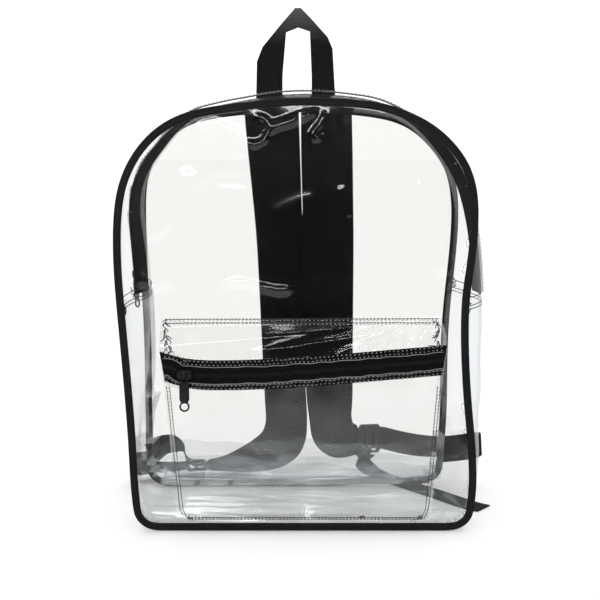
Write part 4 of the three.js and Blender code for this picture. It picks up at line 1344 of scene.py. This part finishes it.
@dataclass
class Pocket(Builder):
    """The front pocket's film, with the creases that fan from its upper corner."""

    top_rows: tuple[float, float] = (1.6, 4.6)
    bottom_rows: tuple[float, float] = (1.8, 5.0)
    side_rows: tuple[float, float] = (1.6 * MM, 4.4 * MM)
    side_foot: float = 3.0 * MM
    ray_start: float = -0.4
    held_rim: float = 12 * MM
    ridge: float = 0.9 * MM
    fan_corner: tuple[float, float, float] = (142, 0, 224)

    def build(self) -> list[Piece]:
        """Makes the pocket's film pieces and seams."""
        levels = {"face": 3, "top": 4, "bottom": 3, "side_left": 3, "side_right": 3}
        words = {"face": "front", "side_left": "left", "side_right": "right"}
        made = [
            self.film(f"pocket_{part}", f"pocket_{words.get(part, part)}_film", level)
            for part, level in levels.items()
        ]
        return made + self.seams()

    def film(self, node: str, name: str, levels: int) -> Piece:
        """One film piece of the pocket."""
        obj = self.frame.refined(node, name, levels)
        low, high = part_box(node)
        for vertex in obj.data.vertices:
            co = vertex.co
            rim = min(co.x - low.x, high.x - co.x, co.z - low.z, high.z - co.z)
            hold = smooth(rim / self.held_rim)
            vertex.co = co + Vector((0, -1, 0.3)) * self.lift(node, co) * hold
        shade_smooth(obj, FILM_SMOOTH)
        return self.dress(obj, self.finishes.pocket, "clear_film", [node])

    def lift(self, node: str, co: Vector) -> float:
        """How far the film stands out at a place."""
        lift = 1.0 * MM * soft_noise(flat(co), 0.07, 11.0) + 0.3 * MM * soft_noise(flat(co), 0.02, 12.0)
        if node != "pocket_top":
            return lift
        corner = mm(*self.fan_corner)
        ray = math.atan2(corner.z - co.z, corner.x - co.x)
        away = smooth((corner.x - co.x) / (40 * MM))
        fan = max(math.sin(ray * 40 + 0.6), 0) ** 2 + 0.5 * max(math.sin(ray * 57 + 2.0), 0) ** 2
        return lift * 0.6 + self.ridge * fan * away

    def seams(self) -> list[Piece]:
        """The double stitch rows round the pocket and its loose threads."""
        skin = Skin(self.frame, "pocket_face", "pocket_top", "pocket_bottom", "pocket_zip_tape")
        top_low, top_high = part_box("pocket_top")
        base_low, base_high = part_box("pocket_bottom")
        face_low, face_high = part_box("pocket_face")
        made = []
        for number, drop in enumerate(self.top_rows):
            low = Vector((top_low.x + 2 * MM, self.ray_start, top_high.z - (drop + 0.9) * MM))
            high = Vector((top_high.x - 5 * MM, self.ray_start, top_high.z - drop * MM))
            line = self.cast(skin, low, high)
            made.append(self.seam(f"pocket_top_stitches_{number}", line))
            # Pale beads beside each top row: a painted highlight where the stitches press the film.
            beside = [place - Vector((0, 0.5 * MM, 1.3 * MM)) for place in line]
            made.append(self.dots(f"pocket_top_dots_{number}", beside, lambda _: FRONT))
        for number, rise in enumerate(self.bottom_rows):
            low = Vector((base_low.x + 3 * MM, self.ray_start, base_low.z + rise * MM))
            high = Vector((base_high.x - 6 * MM, self.ray_start, base_low.z + rise * MM))
            line = self.cast(skin, low, high)
            made.append(self.seam(f"pocket_bottom_stitches_{number}", line))
        for side in Side:
            word = side.name.lower()
            foot = self.side_foot
            for number, inset in enumerate(self.side_rows):
                low_x = (base_low.x + foot + inset) if side is Side.LEFT else (base_high.x - foot - inset)
                high_x = (face_low.x + inset) if side is Side.LEFT else (face_high.x - inset)
                low = Vector((low_x, self.ray_start, base_low.z + 3 * MM))
                high = Vector((high_x, self.ray_start, face_high.z - 10 * MM))
                line = self.cast(skin, low, high)
                made.append(self.seam(f"pocket_{word}_stitches_{number}", line, 1.0 * MM))
        aim = (0, 1, 0)
        tufts = [
            *(Tuft((-131 + i, -400, 219 - 5 * i), aim, (0.2 * i - 0.2, 0, -1), 5, 7) for i in range(6)),
            *(Tuft((138 - i, -400, 219 - 5 * i), aim, (-0.2 * i, 0, -1), 5, 7) for i in range(5)),
            Tuft((-112, -400, 17), aim, (1, 0, 0.2), 4, 9),
            Tuft((126, -400, 18), aim, (-1, 0, 0.3), 4, 9),
            Tuft((60, -400, 18), aim, (1, 0, 0.1), 3, 10),
        ]
        made.append(self.threads("pocket_threads", skin, tufts))
        return made

    def seam(self, name: str, line: Places, thick: float = 1.3 * MM) -> Piece:
        """One pocket seam's stitches, whose ends nearly meet."""
        return self.stitches(name, line, lambda _: FRONT, length=3.4 * MM, thick=thick)

    def cast(self, skin: Skin, low: Vector, high: Vector) -> list[Vector]:
        """The line that rays from the front meet between two places."""
        starts = [low.lerp(high, i / 60) for i in range(61)]
        return skin.line(starts, -FRONT, 0.2 * MM)


@dataclass
class Handle(Builder):
    """The webbing loop on top."""

    bow: float = 1.2 * MM
    peak_lean: float = 3.0 * MM
    peak_reach: float = 50 * MM

    def build(self) -> list[Piece]:
        """Makes the webbing loop, a little bowed at its peak."""
        loop = self.frame.copy("carry_handle", "carry_loop")
        edit_all(loop)
        bpy.ops.mesh.quads_convert_to_tris()
        bpy.ops.mesh.subdivide(number_cuts=4)
        leave_edit()
        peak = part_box("carry_handle")[1].z
        for vertex in loop.data.vertices:
            co = vertex.co
            vertex.co.y += self.bow * soft_noise(flat(co), 0.05, 8.0)
            vertex.co.y += self.peak_lean * smooth((co.z - peak + self.peak_reach) / self.peak_reach)
        shade_smooth(loop, 40.0)
        return [self.dress(loop, self.finishes.webbing, "black_webbing", ["carry_handle"])]


@dataclass
class ShoulderStraps(Builder):
    """Padded straps, ladder locks, lower webbing and free tails."""

    seam_at: float = 7.6 * MM
    crossing: float = 322 * MM
    parting: float = 128 * MM
    drawn_in: float = 2.4 * MM
    lapped: float = 1.6 * MM
    raised: float = 4 * MM
    raised_over: float = 24 * MM
    edge_reach: float = 14 * MM

    def build(self) -> list[Piece]:
        """Makes both sides."""
        made = []
        for side in Side:
            word = side.name.lower()
            pad = self.frame.refined(f"shoulder_strap_{word}", f"padded_strap_{word}", 2, sharp=85.0)
            self.settle(pad, side)
            shade_smooth(pad, FILM_SMOOTH)
            made.append(self.dress(pad, self.finishes.strap, "strap_cloth", [f"shoulder_strap_{word}"]))
            lock = self.frame.bevelled(f"ladder_lock_{word}", f"strap_lock_{word}", 0.8 * MM)
            made.append(self.dress(lock, self.finishes.plastic, "black_plastic", [f"ladder_lock_{word}"]))
            for part, name in (("lower_webbing", "anchor_webbing"), ("webbing_tail", "free_tail")):
                band = self.frame.refined(f"{part}_{word}", f"{name}_{word}", 2, sharp=85.0)
                shade_smooth(band, FILM_SMOOTH)
                made.append(self.dress(band, self.finishes.lower, "black_webbing", [f"{part}_{word}"]))
        return made

    def settle(self, pad: Piece, side: Side) -> None:
        """Lets a strap's inner edge lie on the other strap below their crossing, and reach its seam.

        Args:
            pad: the strap.
            side: whose strap it is.
        """
        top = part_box(f"shoulder_strap_{side.name.lower()}")[1].z
        for vertex in pad.data.vertices:
            co = vertex.co
            inner = smooth(1 - abs(co.x - self.seam_at) / self.edge_reach)
            above = smooth((co.z - self.parting) / self.edge_reach)
            together = inner * smooth((self.crossing - co.z) / (40 * MM)) * above
            vertex.co.x -= side.value * self.drawn_in * together
            vertex.co.y += (self.lapped if side is Side.LEFT else 0.0) * together
            vertex.co.z += self.raised * smooth((co.z - top + self.raised_over) / self.raised_over)


@dataclass(frozen=True)
class SoftBox:
    """One soft light: its place in millimetres, its size in metres and its power in watts."""

    name: str
    place: tuple[float, float, float]
    size: tuple[float, float]
    power: float


SOFT_BOXES = (
    SoftBox("key_soft_box", (-900, -900, 1500), (1.0, 0.8), 14.0),
    SoftBox("fill_soft_box", (1200, -700, 800), (0.7, 1.1), 6.0),
    SoftBox("back_strip", (0, 900, 1300), (1.6, 0.5), 10.0),
    SoftBox("front_strip", (-200, -1900, 800), (1.1, 0.16), 6.0),
    SoftBox("top_strip", (0, 160, 1900), (1.8, 0.06), 3.5),
    SoftBox("top_strip_front", (0, -620, 1850), (1.8, 0.06), 2.5),
    SoftBox("low_back_strip", (0, 2400, 860), (2.6, 0.12), 5.0),
    SoftBox("side_strip", (-1500, -300, 420), (0.14, 0.9), 2.0),
)


@dataclass
class Studio:
    """The camera, the pale floor and the soft lights, in millimetres and pixels."""

    distance: float = 1200.0
    elevation: float = 8.765
    target_height: float = 215.0
    focal_pixels: float = 1128.955
    target_pixel: tuple[float, float] = (298.0, 312.18)
    image: float = 600.0
    sensor: float = 36.0
    daylight: float = 1.2
    light_height: float = 220.0
    wall: Rgba = (0.0, 0.5, 0.012, 0.85)
    table: Rgba = (-0.225, -0.29, 0.0, 0.74)

    def camera(self) -> None:
        """Places the camera at the photograph's angle."""
        data = bpy.data.cameras.new("studio_camera")
        data.sensor_width = self.sensor
        data.lens = self.sensor * self.focal_pixels / self.image
        data.shift_x = (self.image / 2 - self.target_pixel[0]) / self.image
        data.shift_y = (self.target_pixel[1] - self.image / 2) / self.image
        data.clip_start = 0.05
        data.clip_end = 50.0
        camera = linked("studio_camera", data)
        angle = math.radians(self.elevation)
        back = Vector((0, -math.cos(angle), math.sin(angle)))
        camera.location = mm(0, 0, self.target_height) + back * self.distance * MM
        camera.rotation_mode = "QUATERNION"
        camera.rotation_quaternion = (-back).to_track_quat("-Z", "Y")
        bpy.context.scene.camera = camera

    def light(self, box: SoftBox) -> None:
        """Adds one soft box that only shows as a highlight."""
        data = bpy.data.lights.new(box.name, "AREA")
        data.shape = "RECTANGLE"
        data.size, data.size_y = box.size
        data.energy = box.power
        lamp = linked(box.name, data)
        lamp.location = mm(*box.place)
        lamp.visible_diffuse = False
        lamp.rotation_mode = "QUATERNION"
        aim = mm(0, 0, self.light_height) - lamp.location
        lamp.rotation_quaternion = aim.to_track_quat("-Z", "Y")

    def lights(self) -> None:
        """A key above left, a fill on the right, and strips round the bag for its highlights."""
        for box in SOFT_BOXES:
            self.light(box)

    def world(self) -> None:
        """A white studio that mirrors as a bright wall behind, a dark room in front and a white table."""
        world = bpy.data.worlds.new("pale_studio")
        bpy.context.scene.world = world
        world.use_nodes = True
        graph = Graph(world.node_tree)
        where = graph.node("ShaderNodeTexCoord", out="Generated")
        depth = graph.node("ShaderNodeSeparateXYZ", None, where, out="Y")
        height = graph.node("ShaderNodeSeparateXYZ", None, where, out="Z")
        wall = graph.remap(depth, self.wall)
        table = graph.remap(height, self.table)
        seen = graph.node("ShaderNodeBackground", None, (1, 1, 1, 1), self.daylight)
        brighter = wall.math("MAXIMUM", wall, table)
        room = graph.node("ShaderNodeBackground", None, (0.96, 0.98, 1.0, 1), brighter)
        mirrored = graph.node("ShaderNodeLightPath", out="Is Glossy Ray")
        graph.join(graph.node("ShaderNodeMixShader", None, mirrored, seen, room), "ShaderNodeOutputWorld")

    def floor(self) -> None:
        """Adds the pale floor under the bag."""
        under = (0, 0, -0.2 * MM)
        floor = primitive("studio_floor", bpy.ops.mesh.primitive_plane_add, size=40.0, location=under)
        bpy.ops.object.transform_apply(location=True, rotation=True, scale=True)
        floor.data.materials.append(PaleFloor().build())
        floor.visible_glossy = False

    def build(self) -> None:
        """Sets the whole stage."""
        scene = bpy.context.scene
        scene.view_settings.view_transform = "Standard"
        scene.cycles.transparent_max_bounces = 40
        self.camera()
        self.world()
        self.lights()
        self.floor()


FRONT_CREASES = (
    Crease(((-42, 421), (-32, 416), (-27, 410), (-20, 412), (-8, 416), (10, 422), (20, 427)), 3.2, 1.5),
    Crease(
        ((-54, 395), (-42, 391), (-32, 396), (-29, 403), (-20, 408), (-6, 412), (8, 418), (22, 426)),
        3.4,
        1.7,
    ),
    Crease(((27, 424), (22, 412), (14, 402), (17, 397), (24, 400)), 3.2, 1.6),
    Crease(((-100, 408), (-80, 412), (-62, 404), (-52, 397)), 4.0, 1.0),
    Crease(((-26, 322), (-12, 331), (2, 337), (18, 340)), 7.5, 0.9),
    Crease(((-76, 254), (-58, 258), (-38, 253), (-20, 249), (-6, 250)), 4.0, 1.9),
    Crease(((-150, 300), (-128, 318), (-112, 345), (-104, 370)), 9.0, 1.8),
    Crease(((-160, 262), (-140, 255), (-120, 262)), 7.0, 1.5),
    Crease(((150, 262), (132, 290), (122, 330), (118, 360)), 9.0, 1.6),
    Crease(((40, 352), (46, 338), (52, 320)), 5.0, 0.9),
    Crease(((-150, 60), (-146, 90), (-150, 130)), 6.0, 1.4),
)
BACK_CREASES = (
    Crease(((-140, 50), (-120, 110), (-118, 180)), 10.0, 2.0),
    Crease(((140, 90), (118, 170), (124, 250)), 10.0, 2.0),
    Crease(((-120, 20), (-40, 26), (40, 18), (110, 28)), 6.0, 1.8),
    Crease(((-110, 40), (-30, 44), (60, 36)), 6.0, 1.6),
    Crease(((-120, 330), (-90, 352), (-50, 350)), 8.0, 1.4),
)


def main() -> None:
    """Builds every sub-assembly in order."""
    logging.basicConfig(level=logging.INFO, format="%(name)s: %(message)s")
    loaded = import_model()
    frame = Frame(loaded)
    Studio().build()
    finishes = Finishes()
    front = PanelShape("front_binding", "front_panel", "front_film", -1, creases=FRONT_CREASES)
    back = PanelShape("back_binding", "back_panel", "back_film", 1, creases=BACK_CREASES)
    Panel(frame, finishes).build(front)
    Panel(frame, finishes).build(back)
    for part in (Gusset, Binding):
        part(frame, finishes).build()
    main_zip = ZipShape("main", "main_zip_tape", "main_zip_coil", "main_slider", "main_pull")
    MainZip(frame, finishes).build(main_zip)
    pocket_zip = ZipShape("pocket", "pocket_zip_tape", "pocket_zip_coil", "pocket_slider", "pocket_pull")
    PocketZip(frame, finishes).build(pocket_zip)
    for part in (Pocket, Handle, ShoulderStraps):
        part(frame, finishes).build()
    bpy.context.view_layer.update()


if __name__ == "__main__":
    main()
